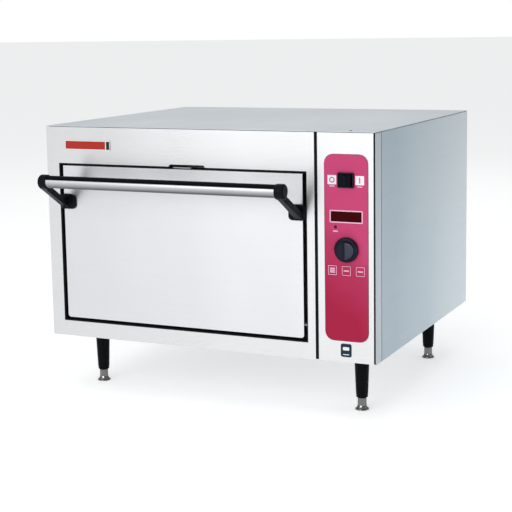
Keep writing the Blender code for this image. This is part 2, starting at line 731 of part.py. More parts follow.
def display_and_lamp(mats, body):
    front = -GAP - OVERLAY_T - 0.0002
    half_w, half_h = DISPLAY_W / 2, DISPLAY_H / 2
    glass = box(
        (CONTROL_X - half_w, front, DISPLAY_Z - half_h),
        (CONTROL_X + half_w, BOARD_Y - GAP, DISPLAY_Z + half_h),
    )
    finish("display_module", glass, mats["display_glass"], body)
    dome = [(0, 0), (LAMP_R * 0.7, 0.0004), (LAMP_R, 0.0016), (LAMP_R, 0.0302), (0, 0.0302)]
    lamp = turned(dome, Vector((LAMP_X, -0.0018, LAMP_Z)), Y, 16)
    finish("indicator_lamp", lamp, mats["black_moulding"], body, smooth=40)


def dial(mats, body):
    """Knob with its own shaft; two sloping cuts leave a ridge to grip across its boss."""
    centre = Vector((KNOB_X, -0.0012, KNOB_Z))
    axis = make_empty("dial_axis", centre, body)
    boss = [(0, 0.0040), (BOSS_R, 0.0040), (BOSS_R - 0.0006, KNOB_REACH), (0, KNOB_REACH)]
    obj = finish("control_knob", turned(boss, centre, -Y, 36), mats["black_moulding"], axis, smooth=30)
    tip, foot = centre.y - KNOB_REACH - 0.0002, centre.y - 0.0078
    wedge = [
        (KNOB_X - RIDGE_W / 2, tip),
        (KNOB_X + RIDGE_W / 2, tip),
        (KNOB_X + BOSS_R + 0.0002, foot),
        (KNOB_X + BOSS_R + 0.0002, centre.y),
        (KNOB_X - BOSS_R - 0.0002, centre.y),
        (KNOB_X - BOSS_R - 0.0002, foot),
    ]
    combine(obj, prism(wedge, KNOB_Z - 0.03, KNOB_Z + 0.03, on_floor), axis, "INTERSECT")
    skirt = [(0, 0), (KNOB_R, 0), (KNOB_R, 0.0042), (KNOB_R - 0.0014, 0.0060), (KNOB_R - 0.0034, 0.0068)]
    skirt.append((0, 0.0068))
    combine(obj, turned(skirt, centre, -Y, 36), axis, "UNION")
    shaft = rod(centre - Y * 0.0030, Y, 0.0030, 0.0190, 16)
    combine(obj, shaft, axis, "UNION")
    encoder = box(
        (KNOB_X - 0.0070, 0.0155, KNOB_Z - 0.0070),
        (KNOB_X + 0.0070, BOARD_Y - GAP, KNOB_Z + 0.0070),
    )
    finish("dial_encoder", encoder, mats["pale_plastic"], body)


def keys(mats, body):
    """Three keys, each a tile in the overlay with a stem behind it."""
    front = -GAP - OVERLAY_T - 0.0003
    for number, x in enumerate(key_centres(), start=1):
        axis = make_empty("key_%d_axis" % number, Vector((x, front, KEY_Z)), body)
        outline = rounded_rectangle(
            x - KEY_W / 2,
            KEY_Z - KEY_H / 2,
            x + KEY_W / 2,
            KEY_Z + KEY_H / 2,
            0.0015,
            steps=3,
        )
        tile = prism(outline, front, front + 0.0010, on_front)
        key = finish("key_%d" % number, tile, mats["overlay_film"], axis)
        root = front + 0.0005
        stem = box((x - KEY_STEM, root, KEY_Z - KEY_STEM), (x + KEY_STEM, KEY_END, KEY_Z + KEY_STEM))
        combine(key, stem, axis, "UNION")


def electrics(mats, body):
    """Board with a contact block behind each key, contactor, transformer, fan and cord gland."""
    sheet = box((0.5940, BOARD_Y, 0.1500), (0.6880, BOARD_Y + 0.0016, 0.3100))
    board = finish("control_board", sheet, mats["circuit_board"], body)
    contact, root = KEY_END + KEY_TRAVEL + GAP, BOARD_Y + 0.0008
    for x in key_centres():
        low, high = (x - KEY_STEM, contact, KEY_Z - KEY_STEM), (x + KEY_STEM, root, KEY_Z + KEY_STEM)
        combine(board, box(low, high), body, "UNION")
    floor = SHEET + GAP
    steps = [
        (0.200, floor),
        (0.275, floor),
        (0.275, floor + 0.022),
        (0.266, floor + 0.022),
        (0.266, floor + 0.050),
        (0.209, floor + 0.050),
        (0.209, floor + 0.022),
        (0.200, floor + 0.022),
    ]
    finish("heater_contactor", prism(steps, 0.6150, 0.6600, on_side), mats["pale_plastic"], body)
    core = [
        (0.100, floor),
        (0.160, floor),
        (0.160, floor + 0.006),
        (0.152, floor + 0.006),
        (0.152, floor + 0.046),
        (0.108, floor + 0.046),
        (0.108, floor + 0.006),
        (0.100, floor + 0.006),
    ]
    finish("control_transformer", prism(core, 0.6180, 0.6500, on_side), mats["element_sheath"], body)

    corner = Vector((FAN_X - FAN_SIZE / 2, FAN_Y, FAN_Z - FAN_SIZE / 2))
    outline = rounded_rectangle(
        corner.x,
        corner.z,
        corner.x + FAN_SIZE,
        corner.z + FAN_SIZE,
        0.006,
        steps=3,
    )
    frame = finish(
        "fan_frame",
        prism(outline, FAN_Y, FAN_Y + FAN_DEPTH, on_front),
        mats["black_moulding"],
        body,
    )
    centre = Vector((FAN_X, FAN_Y, FAN_Z))
    combine(frame, rod(centre - Y * 0.01, Y, 0.0380, FAN_DEPTH + 0.02, 32), body, "DIFFERENCE")
    spoke = box(
        (FAN_X - 0.0390, FAN_Y, FAN_Z - 0.0040),
        (FAN_X + 0.0390, FAN_Y + 0.0030, FAN_Z + 0.0040),
    )
    combine(frame, spoke, body, "UNION")
    combine(frame, rod(centre + Y * 0.0005, Y, 0.0170, 0.0030, 24), body, "UNION")
    fan_rotor(mats, body, centre + Y * 0.0042)

    gland = [
        (0.0060, -0.0140),
        (0.0100, -0.0140),
        (0.0100, GAP),
        (0.0140, GAP),
        (0.0140, 0.0060),
        (0.0112, 0.0075),
        (0.0112, 0.0125),
        (0.0090, GLAND_REACH),
        (0.0060, GLAND_REACH),
    ]
    place = Vector((GLAND_X, BODY_D, GLAND_Z))
    finish("cord_gland", turned(gland, place, Y, 24, closed=True), mats["black_moulding"], body, smooth=30)


def fan_rotor(mats, body, place):
    """A hub whose every other face is drawn out into a blade."""
    axis = make_empty("fan_axis", place, body)
    hub_r, tip_r, width = 0.0150, 0.0355, 0.0160
    bm = rod(place, Y, hub_r, width, 14)
    bmesh.ops.recalc_face_normals(bm, faces=bm.faces)
    sides = [f for f in bm.faces if abs(f.normal.y) < 0.1]
    middle = place + Y * (width / 2)
    sides.sort(key=lambda f: angle_about(f.calc_center_median(), middle))
    for side in sides[::2]:
        outward = side.calc_center_median() - middle
        outward.y = 0
        outward.normalize()
        tip = push_face(bm, side, outward * (tip_r - hub_r))
        around = outward.cross(Y)
        for vert in tip.verts:
            back = (vert.co - middle).y
            vert.co += around * (back * 0.6)
    finish("fan_rotor", bm, mats["black_moulding"], axis)


def angle_about(point, centre):
    offset = point - centre
    return math.atan2(offset.z, offset.x)


def labels(mats, body):
    badge = rounded_rectangle(*NAMEPLATE, 0.0008, steps=2)
    finish("nameplate", prism(badge, -GAP, -GAP - 0.0010, on_front), mats["label_red"], body)
    label = rounded_rectangle(*RATING_LABEL, 0.0035, steps=4)
    finish("rating_label", prism(label, -GAP, -GAP - 0.0004, on_front), mats["label_navy"], body)


def legs(mats, body):
    """Tapered sleeves under the base, and levelling feet whose stems run up inside them."""
    top = -GAP
    sleeve_bottom = SLEEVE_END - LEG_H
    bore, stem, blind = 0.0066, 0.0060, -0.0200
    sleeve = [
        (0, top),
        (0.0148, top),
        (0.0146, top - 0.003),
        (0.0114, sleeve_bottom),
        (bore, sleeve_bottom),
        (bore, blind),
        (0, blind),
    ]
    shank, neck = 0.0088, sleeve_bottom - 0.0007
    foot = [
        (0, -LEG_H),
        (FOOT_R, -LEG_H),
        (FOOT_R, -LEG_H + 0.0030),
        (FOOT_R - 0.0030, -LEG_H + 0.0048),
        (shank, -LEG_H + 0.0065),
        (shank, neck),
        (stem, neck),
        (stem, blind - 0.0060),
        (0, blind - 0.0060),
    ]
    places = {
        "front_left": (LEG_SIDE, LEG_FRONT),
        "front_right": (BODY_W - LEG_SIDE, LEG_FRONT),
        "rear_left": (LEG_SIDE, BODY_D - LEG_BACK),
        "rear_right": (BODY_W - LEG_SIDE, BODY_D - LEG_BACK),
    }
    for name, (x, y) in places.items():
        centre = Vector((x, y, 0))
        finish("leg_sleeve_" + name, turned(sleeve, centre, Z, 24), mats["black_moulding"], body, smooth=40)
        axis = make_empty("foot_axis_" + name, Vector((x, y, -LEG_H)), body)
        finish("levelling_foot_" + name, turned(foot, centre, Z, 24), mats["polished_steel"], axis, smooth=30)


def main():
    clear_scene()
    mats = {name: make_material(name) for name in MATERIALS}
    placement = make_empty("body_corner", (0, 0, 0))
    placement.location = (-BODY_W / 2, FRONT_Y, LEG_H)
    door = make_empty("door_hinge_axis", (DOOR_MID, HINGE_Y, HINGE_Z), placement)
    shell(mats, placement)
    chamber(mats, placement)
    seals(mats, placement)
    hinges(mats, placement, door)
    door_leaf(mats, door)
    handle(mats, door)
    control_panel(mats, placement)
    switch(mats, placement)
    display_and_lamp(mats, placement)
    dial(mats, placement)
    keys(mats, placement)
    electrics(mats, placement)
    labels(mats, placement)
    legs(mats, placement)


main()
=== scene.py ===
# %% [markdown]
# # A countertop deck oven, from its working frame to its finish
# The frame is the engineered model: every sheet, pin, knob and foot, at its real size and on its real
# joints. This script never moves it. It gives each part its finish, and adds the small things that a
# working model leaves out: screws, printed marks, rounded mouldings and seals.

import math

import bmesh
import bpy
from mathutils import Matrix, Vector


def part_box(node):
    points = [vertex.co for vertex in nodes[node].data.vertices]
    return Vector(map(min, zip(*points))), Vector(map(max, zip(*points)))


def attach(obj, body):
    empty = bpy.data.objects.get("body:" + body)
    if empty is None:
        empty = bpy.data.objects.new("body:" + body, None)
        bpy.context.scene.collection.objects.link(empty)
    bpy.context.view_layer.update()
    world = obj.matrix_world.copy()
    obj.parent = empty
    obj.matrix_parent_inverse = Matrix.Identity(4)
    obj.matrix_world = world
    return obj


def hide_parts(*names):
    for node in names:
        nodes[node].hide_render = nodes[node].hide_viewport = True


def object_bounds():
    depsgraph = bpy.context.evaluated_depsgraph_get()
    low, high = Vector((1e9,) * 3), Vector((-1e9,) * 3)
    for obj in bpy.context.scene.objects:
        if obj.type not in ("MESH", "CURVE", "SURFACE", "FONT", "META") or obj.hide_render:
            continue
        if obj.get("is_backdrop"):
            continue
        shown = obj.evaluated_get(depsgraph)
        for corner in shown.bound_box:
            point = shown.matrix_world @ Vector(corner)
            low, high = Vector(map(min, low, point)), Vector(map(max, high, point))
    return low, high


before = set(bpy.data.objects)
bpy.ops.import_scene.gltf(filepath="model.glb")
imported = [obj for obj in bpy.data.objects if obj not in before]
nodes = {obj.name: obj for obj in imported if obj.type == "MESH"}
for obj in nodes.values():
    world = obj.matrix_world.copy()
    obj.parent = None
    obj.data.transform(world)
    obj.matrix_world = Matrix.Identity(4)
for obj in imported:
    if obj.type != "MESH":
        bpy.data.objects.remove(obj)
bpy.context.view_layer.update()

# %% [markdown]
# ## The camera
# The oven is seen from its front right corner and slightly above, with a long lens, so its edges stay
# nearly parallel. A camera is placed by three turns: yaw about the vertical, pitch down, and a slight
# roll. A small upward shift of the lens keeps the verticals straighter than tilting alone would.

# %% Camera
CAMERA_YAW, CAMERA_PITCH, CAMERA_ROLL = 24.887, 8.252, -0.934
camera_data = bpy.data.cameras.new("camera")
camera_data.lens = 91.381
camera_data.shift_y = -0.082
camera_data.clip_end = 200
camera = bpy.data.objects.new("camera", camera_data)
camera.location = (1.1259, -2.4466, 0.7325)
yaw = Matrix.Rotation(math.radians(CAMERA_YAW), 4, "Z")
pitch = Matrix.Rotation(math.radians(90 - CAMERA_PITCH), 4, "X")
roll = Matrix.Rotation(math.radians(CAMERA_ROLL), 4, "Z")
camera.rotation_euler = (yaw @ pitch @ roll).to_euler()
bpy.context.scene.collection.objects.link(camera)
bpy.context.scene.camera = camera
print("camera: lens", camera_data.lens, "mm, shift", camera_data.shift_y)

# %% [markdown]
# ## Writing shaders as expressions
# A node graph is easier to read as arithmetic. The class below wraps one output socket. Adding or
# multiplying them adds a Math node, and the `node` method adds any other kind of node: its settings
# first, because they decide which sockets it shows, and then its inputs. The reflected forms let a plain
# number stand first, as in 1 - mask.


# %% Shader expressions
class Wire:
    """An output socket in a material's node tree, usable in arithmetic."""

    def __init__(self, tree, socket=None):
        self.tree = tree
        self.socket = socket

    def node(self, kind, settings=None, inputs=None, output=0):
        made = self.tree.nodes.new(kind)
        for name, value in (settings or {}).items():
            if name == "stops":
                set_stops(made.color_ramp, value)
            else:
                setattr(made, name, value)
        for name, value in (inputs or {}).items():
            if isinstance(value, Wire):
                self.tree.links.new(value.socket, made.inputs[name])
            else:
                made.inputs[name].default_value = value
        return Wire(self.tree, made.outputs[output])

    def math(self, operation, first, second):
        return self.node("ShaderNodeMath", {"operation": operation}, {0: first, 1: second})

    def __add__(self, other):
        return self.math("ADD", self, other)

    __radd__ = __add__

    def __sub__(self, other):
        return self.math("SUBTRACT", self, other)

    def __rsub__(self, other):
        return self.math("SUBTRACT", other, self)

    def __mul__(self, other):
        return self.math("MULTIPLY", self, other)

    __rmul__ = __mul__


def set_stops(ramp, stops):
    """Give a colour ramp its (position, colour) stops."""
    while len(ramp.elements) < len(stops):
        ramp.elements.new(1.0)
    for element, (position, colour) in zip(ramp.elements, stops):
        element.position = position
        element.color = (*colour, 1.0)


MIX_FACTOR, MIX_A, MIX_B, MIX_RESULT = 0, 6, 7, 2  # the Mix node's sockets for colours


def mix_colours(factor, first, second):
    """Mix two colours; each is a tuple or a wire."""
    inputs = {MIX_FACTOR: factor}
    for socket, colour in ((MIX_A, first), (MIX_B, second)):
        inputs[socket] = colour if isinstance(colour, Wire) else (*colour, 1.0)
    return factor.node("ShaderNodeMix", {"data_type": "RGBA"}, inputs, output=MIX_RESULT)


def toned(colour, factor):
    """A colour made darker or lighter."""
    return tuple(c * factor for c in colour)


def noise(at, scale, stretch=(1, 1, 1), detail=3.0, roughness=0.5):
    """Noise on the object's own coordinates, stretched by scaling each axis."""
    placed = at.node("ShaderNodeMapping", None, {"Vector": at, "Scale": Vector(stretch) * scale})
    inputs = {"Vector": placed, "Scale": 1.0, "Detail": detail, "Roughness": roughness}
    return at.node("ShaderNodeTexNoise", None, inputs)


def spread(value, low, high, out_low=0.0, out_high=1.0):
    """Remap a range of a value to another, clamped."""
    inputs = {"Value": value, "From Min": low, "From Max": high, "To Min": out_low, "To Max": out_high}
    return value.node("ShaderNodeMapRange", None, inputs)


def axis_of(at, index):
    """One coordinate of a position."""
    return at.node("ShaderNodeSeparateXYZ", None, {0: at}, output=index)


print("shader kit ready")

# %% [markdown]
# ## A material's skeleton
# Every finish below starts the same way: object coordinates go in, and the numbers that are the same all
# over are set on the shader's own sockets. Only what varies over the surface is linked.


# %% Material skeleton
def start_material(name):
    """A new material with its Principled shader; returns it and its object coordinates."""
    material = bpy.data.materials.new(name)
    material.use_nodes = True
    coordinates = Wire(material.node_tree).node("ShaderNodeTexCoord", output="Object")
    return material, coordinates


def end_material(material, links, constants=None, bump=None):
    """Link the varying inputs, set the constant ones, and add a bump of (height, distance)."""
    tree = material.node_tree
    shader = tree.nodes["Principled BSDF"]
    for name, value in (constants or {}).items():
        shader.inputs[name].default_value = value
    for name, wire in links.items():
        tree.links.new(wire.socket, shader.inputs[name])
    if bump is not None:
        height, distance = bump
        normal = height.node("ShaderNodeBump", None, {"Height": height, "Distance": distance})
        tree.links.new(normal.socket, shader.inputs["Normal"])
    return material


print("material skeleton ready")

# %% [markdown]
# ## Brushed stainless sheet
# Most of this oven is stainless sheet. Its look has three scales: broad, soft clouds where the polish
# changes, long fine brush lines along the grain, and a tight sparkle across it. A fully mirror-like or
# perfectly even metal looks like chrome or plastic, so each scale moves the roughness or the colour a
# little. The brush lines also stretch every reflection across themselves, which is what the shader's
# anisotropy does. One recipe serves every sheet, and each gets its own tone and grain direction. Some
# tones are painted light and shade: the top's lighter, bluer tone is a painted reflection, and the side
# sheets and the corner post get darker, bluer tones as painted shade. The side sheets' colour is also
# painted lighter towards the back, a painted reflection of a bright wall beside them.

# %% Brushed steel
GRAIN = {"X": (0.006, 1, 1), "Y": (1, 0.006, 1), "Z": (1, 1, 0.006)}
CLOUD_DARK, CLOUD_LIGHT = 0.80, 1.20
CLOUD_SHAPE = (1.0, 1.0, 0.45)
BRUSHED, UPRIGHT = 0.8, 0.25  # how strongly reflections stretch, and the quarter turn that does it upright


def brushed_steel(
    name, tone, roughness, grain="X", cloud=0.06, mottle=CLOUD_SHAPE, painted_fade=None, turn=UPRIGHT
):
    """Sheet with its grain along an axis; a painted fade, painted light along an axis, is (axis, start,
    end, tone at the end).
    """
    material, at = start_material(name)
    clouds = noise(at, 5.0, mottle, detail=2.0)
    lines = noise(at, 1400.0, GRAIN[grain], detail=2.0, roughness=0.6)
    streaks = noise(at, 160.0, GRAIN[grain], detail=3.0)
    brightness = spread(clouds, 0.3, 0.7, -cloud, cloud) + spread(streaks, 0.3, 0.7, -0.007, 0.007)
    dark, light = toned(tone, CLOUD_DARK), tuple(min(1.0, c) for c in toned(tone, CLOUD_LIGHT))
    if painted_fade is not None:
        axis, start, end, far = painted_fade
        along = spread(axis_of(at, axis), start, end)
        dark = mix_colours(along, dark, toned(far, CLOUD_DARK))
        light = mix_colours(along, light, toned(far, CLOUD_LIGHT))
    colour = mix_colours(brightness * 2.5 + 0.5, dark, light)
    gloss = roughness + spread(clouds, 0.3, 0.7, -0.03, 0.03) + spread(lines, 0.2, 0.8, -0.05, 0.05)
    height = lines * 0.85 + streaks * 0.15
    links = {"Base Color": colour, "Roughness": gloss}
    constants = {"Metallic": 1.0, "Anisotropic": BRUSHED if turn else 0.0, "Anisotropic Rotation": turn}
    return end_material(material, links, constants, (height, 0.000003))


front_steel = brushed_steel("front_steel", (0.68, 0.685, 0.693), 0.30, cloud=0.03)
door_steel = brushed_steel("door_steel", (0.675, 0.682, 0.702), 0.31, cloud=0.03)
panel_steel = brushed_steel("panel_steel", (0.685, 0.69, 0.70), 0.32, cloud=0.02)
# The top's lighter, bluer tone is a painted reflection of bright, cool surroundings.
top_steel_painted_reflection = brushed_steel("top_steel_painted_reflection", (0.73, 0.79, 0.85), 0.36, mottle=(1.0, 0.5, 1.0), turn=0.0)
# The side sheets' darker, bluer tone is painted shade, and their fade to a lighter back is a painted
# reflection.
SIDE_PAINTED_LIGHT = (1, -0.15, 0.33, (0.65, 0.725, 0.76))
side_steel_painted_shading = brushed_steel("side_steel_painted_shading", (0.425, 0.51, 0.575), 0.40, cloud=0.04, grain="Y", painted_fade=SIDE_PAINTED_LIGHT)
# The corner post's darker tone is painted shade.
post_steel_painted_shade = brushed_steel("post_steel_painted_shade", (0.47, 0.515, 0.56), 0.33, grain="Z", cloud=0.03)
back_steel = brushed_steel("back_steel", (0.58, 0.61, 0.63), 0.38)
plain_steel = brushed_steel("plain_steel", (0.52, 0.53, 0.54), 0.42)
print("brushed steels:", 8)

# %% [markdown]
# ## Heat-toned chamber steel
# The chamber and the door's inner face have been hot many times. Stainless then takes a straw to brown
# tint in soft patches, and it loses its gloss. The tint could be painted by hand, but broad noise mixes it
# in over every wall without a seam, and a finer noise adds a few dark spots.


# %% Chamber steel
def chamber_finish():
    material, at = start_material("chamber_steel")
    patches = noise(at, 9.0, (1, 1, 1), detail=4.0)
    grain = noise(at, 900.0, GRAIN["X"], detail=2.0)
    straw = mix_colours(spread(patches, 0.35, 0.7), (0.52, 0.515, 0.50), (0.42, 0.36, 0.27))
    spots = spread(noise(at, 70.0, (1, 1, 1), detail=1.0), 0.66, 0.74)
    colour = mix_colours(spots * 0.5, straw, (0.13, 0.09, 0.06))
    gloss = 0.42 + spread(patches, 0.3, 0.7, -0.06, 0.12) + spots * 0.2
    links = {"Base Color": colour, "Roughness": gloss}
    return end_material(material, links, {"Metallic": 1.0}, (grain, 0.00001))


chamber_steel = chamber_finish()
print("made", chamber_steel.name)

# %% [markdown]
# ## Polished metal
# The handle tube and the feet are polished, and springs and pins are bright drawn wire. They read by
# their reflections, so the material stays simple: a low roughness with faint rings of polishing across
# the axis, and a few dull smudges where hands or wet cloths have been. The tube's lower side faces the
# dark of a room, so its colour is painted darker below its middle: a painted reflection of that dark.
# The feet's dark tone is also a painted reflection, of dark surroundings.


# %% Polished metal
def polished(name, tone, roughness, axis="X", smudge=0.06, shade=None):
    """Metal polished round an axis; a shade, painted darker into the colour, is (low, high, tone at the
    low side).
    """
    material, at = start_material(name)
    across = tuple(1.0 if letter == axis else 0.04 for letter in "XYZ")
    rings = noise(at, 900.0, across, detail=2.0)
    smudges = noise(at, 22.0, (1, 1, 1), detail=3.0)
    gloss = roughness + spread(rings, 0.3, 0.7, -0.02, 0.02) + spread(smudges, 0.5, 0.75, 0.0, smudge)
    colour = mix_colours(spread(smudges, 0.3, 0.7), tone, toned(tone, 0.95))
    if shade is not None:
        low, high, low_tone = shade
        colour = mix_colours(spread(axis_of(at, 2), low, high), low_tone, colour)
    links = {"Base Color": colour, "Roughness": gloss}
    return end_material(material, links, {"Metallic": 1.0}, (rings, 0.000001))


bar_low, bar_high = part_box("handle_bar")
bar_middle = (bar_low.z + bar_high.z) / 2
# The tube's darker lower half is a painted reflection of a dark room.
SHADED_STEEL = (0.06, 0.065, 0.075)
TUBE_SHADE = (bar_low.z + 0.0015, bar_middle + 0.002, SHADED_STEEL)
tube_polish = polished("tube_polish", (0.60, 0.61, 0.63), 0.30, shade=TUBE_SHADE)
# The feet's dark tone is a painted reflection of dark surroundings.
foot_polish_painted_reflection = polished("foot_polish_painted_reflection", (0.20, 0.195, 0.19), 0.12, axis="Z", smudge=0.04)
bright_wire = polished("bright_wire", (0.55, 0.55, 0.56), 0.22)
screw_steel = polished("screw_steel", (0.45, 0.45, 0.46), 0.30, axis="Z")
print("polished metals:", 4)

# %% [markdown]
# ## Black mouldings and rubber
# Moulded nylon has a fine spark-eroded grain from its tool: tiny pits that break the highlight without
# changing the outline. Rubber has a coarser, chalkier surface. Both are almost black, so their shape
# shows in the highlight, and the grain goes to roughness and bump.


# %% Black mouldings
def moulding(name, tone, roughness, grain=1800.0, bloom=0.0, shine=0.14):
    """Moulded plastic or rubber; bloom is how much its dusty patches lighten."""
    material, at = start_material(name)
    pits = noise(at, grain, (1, 1, 1), detail=1.0)
    wear = noise(at, 35.0, (1, 1, 1), detail=3.0)
    gloss = roughness + spread(pits, 0.35, 0.65, -0.04, 0.04) + spread(wear, 0.35, 0.7, -0.03, 0.06)
    dusty = tuple(c + bloom + 0.0015 for c in tone)
    colour = mix_colours(spread(wear, 0.4, 0.75), tone, dusty)
    links = {"Base Color": colour, "Roughness": gloss}
    return end_material(material, links, {"Specular IOR Level": shine}, (pits, 0.00004))


bracket_nylon = moulding("bracket_nylon", (0.0025, 0.0050, 0.0080), 0.30, shine=0.07)
grip_black = moulding("grip_black", (0.0022, 0.0034, 0.0045), 0.42, shine=0.03)
sleeve_plastic = moulding("sleeve_plastic", (0.0020, 0.0023, 0.0030), 0.36, shine=0.06)
knob_plastic = moulding("knob_plastic", (0.0026, 0.0032, 0.0120), 0.30, shine=0.14)
switch_plastic = moulding("switch_plastic", (0.0035, 0.0040, 0.0075), 0.32, shine=0.05)
inner_plastic = moulding("inner_plastic", (0.012, 0.012, 0.014), 0.5)
# Black rubber for the seals, also used for the black strips that are painted shade in the panel's gaps.
rubber_seal_and_gap_shade = moulding("rubber_seal_and_gap_shade", (0.0020, 0.0038, 0.0055), 0.60, grain=700.0)
gasket_rubber = moulding("gasket_rubber", (0.012, 0.012, 0.012), 0.75, grain=500.0, bloom=0.02)
# A grey that is a painted highlight on the switch housing's edge.
bezel_painted_highlight = moulding("bezel_painted_highlight", (0.020, 0.020, 0.036), 0.35, shine=0.2)
pale_plastic = moulding("pale_plastic", (0.62, 0.61, 0.57), 0.5)
print("mouldings and rubbers:", 10)

# %% [markdown]
# ## The printed overlay
# The control panel wears a polyester film, printed on its back and slightly textured on its face. The
# ink is a strong magenta; its colour is painted lighter towards the top and the right, a painted
# reflection of the light there, and deeper towards the bottom and the left. The face texture is a fine
# regular grain, and a little coat gives the film its own gloss over the ink.

# %% Overlay film
overlay_low, overlay_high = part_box("control_overlay")


def film(name, top_colour, bottom_colour, side_painted_light):
    """A printed film whose colour is painted lighter upwards, and to the right by the side's painted
    light.
    """
    material, at = start_material(name)
    height = spread(axis_of(at, 2), overlay_low.z, overlay_high.z)
    across = spread(axis_of(at, 0), overlay_low.x, overlay_high.x, -side_painted_light, side_painted_light)
    drift = spread(noise(at, 14.0, (1, 1, 1), detail=2.0), 0.3, 0.7, -0.05, 0.05)
    place = height + across + drift
    halfway = tuple(b * 0.6 + t * 0.4 for b, t in zip(bottom_colour, top_colour))
    stops = [(0.12, bottom_colour), (0.42, halfway), (0.62, top_colour)]
    colour = place.node("ShaderNodeValToRGB", {"stops": stops}, {"Fac": place})
    grain = noise(at, 2600.0, (1, 1, 1), detail=1.0)
    gloss = 0.42 + spread(grain, 0.3, 0.7, -0.03, 0.03)
    constants = {"Specular IOR Level": 0.12, "Coat Weight": 0.04, "Coat Roughness": 0.25}
    links = {"Base Color": colour, "Roughness": gloss}
    return end_material(material, links, constants, (grain, 0.00002))


# The film's lighter top and right are a painted reflection of light.
overlay_film = film("overlay_film", (0.56, 0.056, 0.168), (0.375, 0.010, 0.052), side_painted_light=0.12)
print("overlay:", overlay_film.name)

# %% [markdown]
# ## Inks, labels and the display window
# Printed marks are thin, matt and very slightly uneven, like screen-printing ink. The display window is
# a smooth dark red filter. The two plates are enamel with a little clear coat, and they stay blank: a
# plate's colour and its border say enough. One recipe serves all of them, because they differ only in
# colour, gloss and coat.


# %% Inks and labels
def ink(name, tone, roughness=0.45, coat=0.0, shine=0.15):
    """A thin print or enamel with faint unevenness."""
    material, at = start_material(name)
    patches = noise(at, 260.0, (1, 1, 1), detail=3.0)
    colour = mix_colours(spread(patches, 0.3, 0.7), tone, toned(tone, 0.93))
    gloss = roughness + spread(patches, 0.3, 0.7, -0.04, 0.04)
    links = {"Base Color": colour, "Roughness": gloss}
    constants = {"Specular IOR Level": shine, "Coat Weight": coat, "Coat Roughness": 0.1}
    return end_material(material, links, constants, (patches, 0.000006))


white_ink = ink("white_ink", (0.90, 0.88, 0.90))
pink_ink = ink("pink_ink", (0.88, 0.52, 0.68))
violet_ink = ink("violet_ink", (0.48, 0.14, 0.30))
edge_ink = ink("edge_ink", (0.16, 0.06, 0.07))
red_enamel = ink("red_enamel", (0.46, 0.028, 0.020), 0.3, coat=0.1)
pale_enamel = ink("pale_enamel", (0.86, 0.85, 0.83), 0.3, coat=0.1)
dark_enamel = ink("dark_enamel", (0.006, 0.022, 0.036), 0.3, coat=0.1)
navy_enamel = ink("navy_enamel", (0.004, 0.026, 0.050), 0.35, coat=0.1)
display_filter = ink("display_filter", (0.045, 0.0012, 0.0022), 0.15, shine=0.03)
lamp_lens = ink("lamp_lens", (0.010, 0.003, 0.004), 0.2, coat=0.2)
print("inks and enamels:", 10)

# %% [markdown]
# ## Inside the oven
# The decks are fired cordierite: sandy, full of fine pores, and toasted brown where pizzas have sat. The
# insulation is mineral wool, whose fibres lie in flat layers. The elements' sheath is dark and dull,
# with greyer scale, and the board is green with lighter copper tracks under its mask. Each is one or two
# noises at the material's own scale; only the board uses cells, whose straight walls look like tracks.


# %% Inner materials
def stone_finish():
    material, at = start_material("deck_stone")
    grit = noise(at, 900.0, (1, 1, 1), detail=4.0, roughness=0.7)
    toast = noise(at, 7.0, (1, 1, 1), detail=4.0)
    base = mix_colours(spread(grit, 0.3, 0.7), (0.47, 0.39, 0.29), (0.66, 0.58, 0.46))
    colour = mix_colours(spread(toast, 0.5, 0.8, 0.0, 0.8), base, (0.22, 0.14, 0.08))
    height = spread(grit, 0.36, 0.44) * 0.7 + grit * 0.3
    return end_material(material, {"Base Color": colour}, {"Roughness": 0.92}, (height, 0.0003))


def wool_finish():
    material, at = start_material("mineral_wool")
    layers = noise(at, 260.0, (1, 1, 8), detail=4.0, roughness=0.7)
    tufts = noise(at, 60.0, (1, 1, 1), detail=3.0)
    shade = layers * 0.6 + tufts * 0.4
    colour = mix_colours(spread(shade, 0.3, 0.7), (0.48, 0.42, 0.26), (0.78, 0.72, 0.52))
    return end_material(material, {"Base Color": colour}, {"Roughness": 0.97}, (shade, 0.0015))


def sheath_finish():
    material, at = start_material("element_sheath")
    scale = noise(at, 240.0, (1, 1, 1), detail=4.0)
    colour = mix_colours(spread(scale, 0.45, 0.7), (0.075, 0.066, 0.060), (0.21, 0.19, 0.17))
    links = {"Base Color": colour, "Roughness": 0.5 + spread(scale, 0.4, 0.7, 0.0, 0.25)}
    return end_material(material, links, {"Metallic": 0.7}, (scale, 0.00008))


def board_finish():
    material, at = start_material("circuit_board")
    settings = {"distance": "CHEBYCHEV", "feature": "F1"}
    cells = at.node("ShaderNodeTexVoronoi", settings, {"Vector": at, "Scale": 260.0})
    tracks = spread(cells, 0.42, 0.50)
    colour = mix_colours(tracks, (0.012, 0.105, 0.040), (0.050, 0.240, 0.080))
    return end_material(material, {"Base Color": colour}, {"Roughness": 0.38}, (tracks, 0.00003))


deck_stone = stone_finish()
mineral_wool = wool_finish()
element_sheath = sheath_finish()
circuit_board = board_finish()
print("inner materials:", 4)

# %% [markdown]
# ## Dressing the frame
# A part whose shape is already right keeps its own mesh and only gets a finish. Each could be dressed in
# a line of its own, but a dictionary from finish to part names reads like a parts list, and the count at
# the end shows at once if one was forgotten.

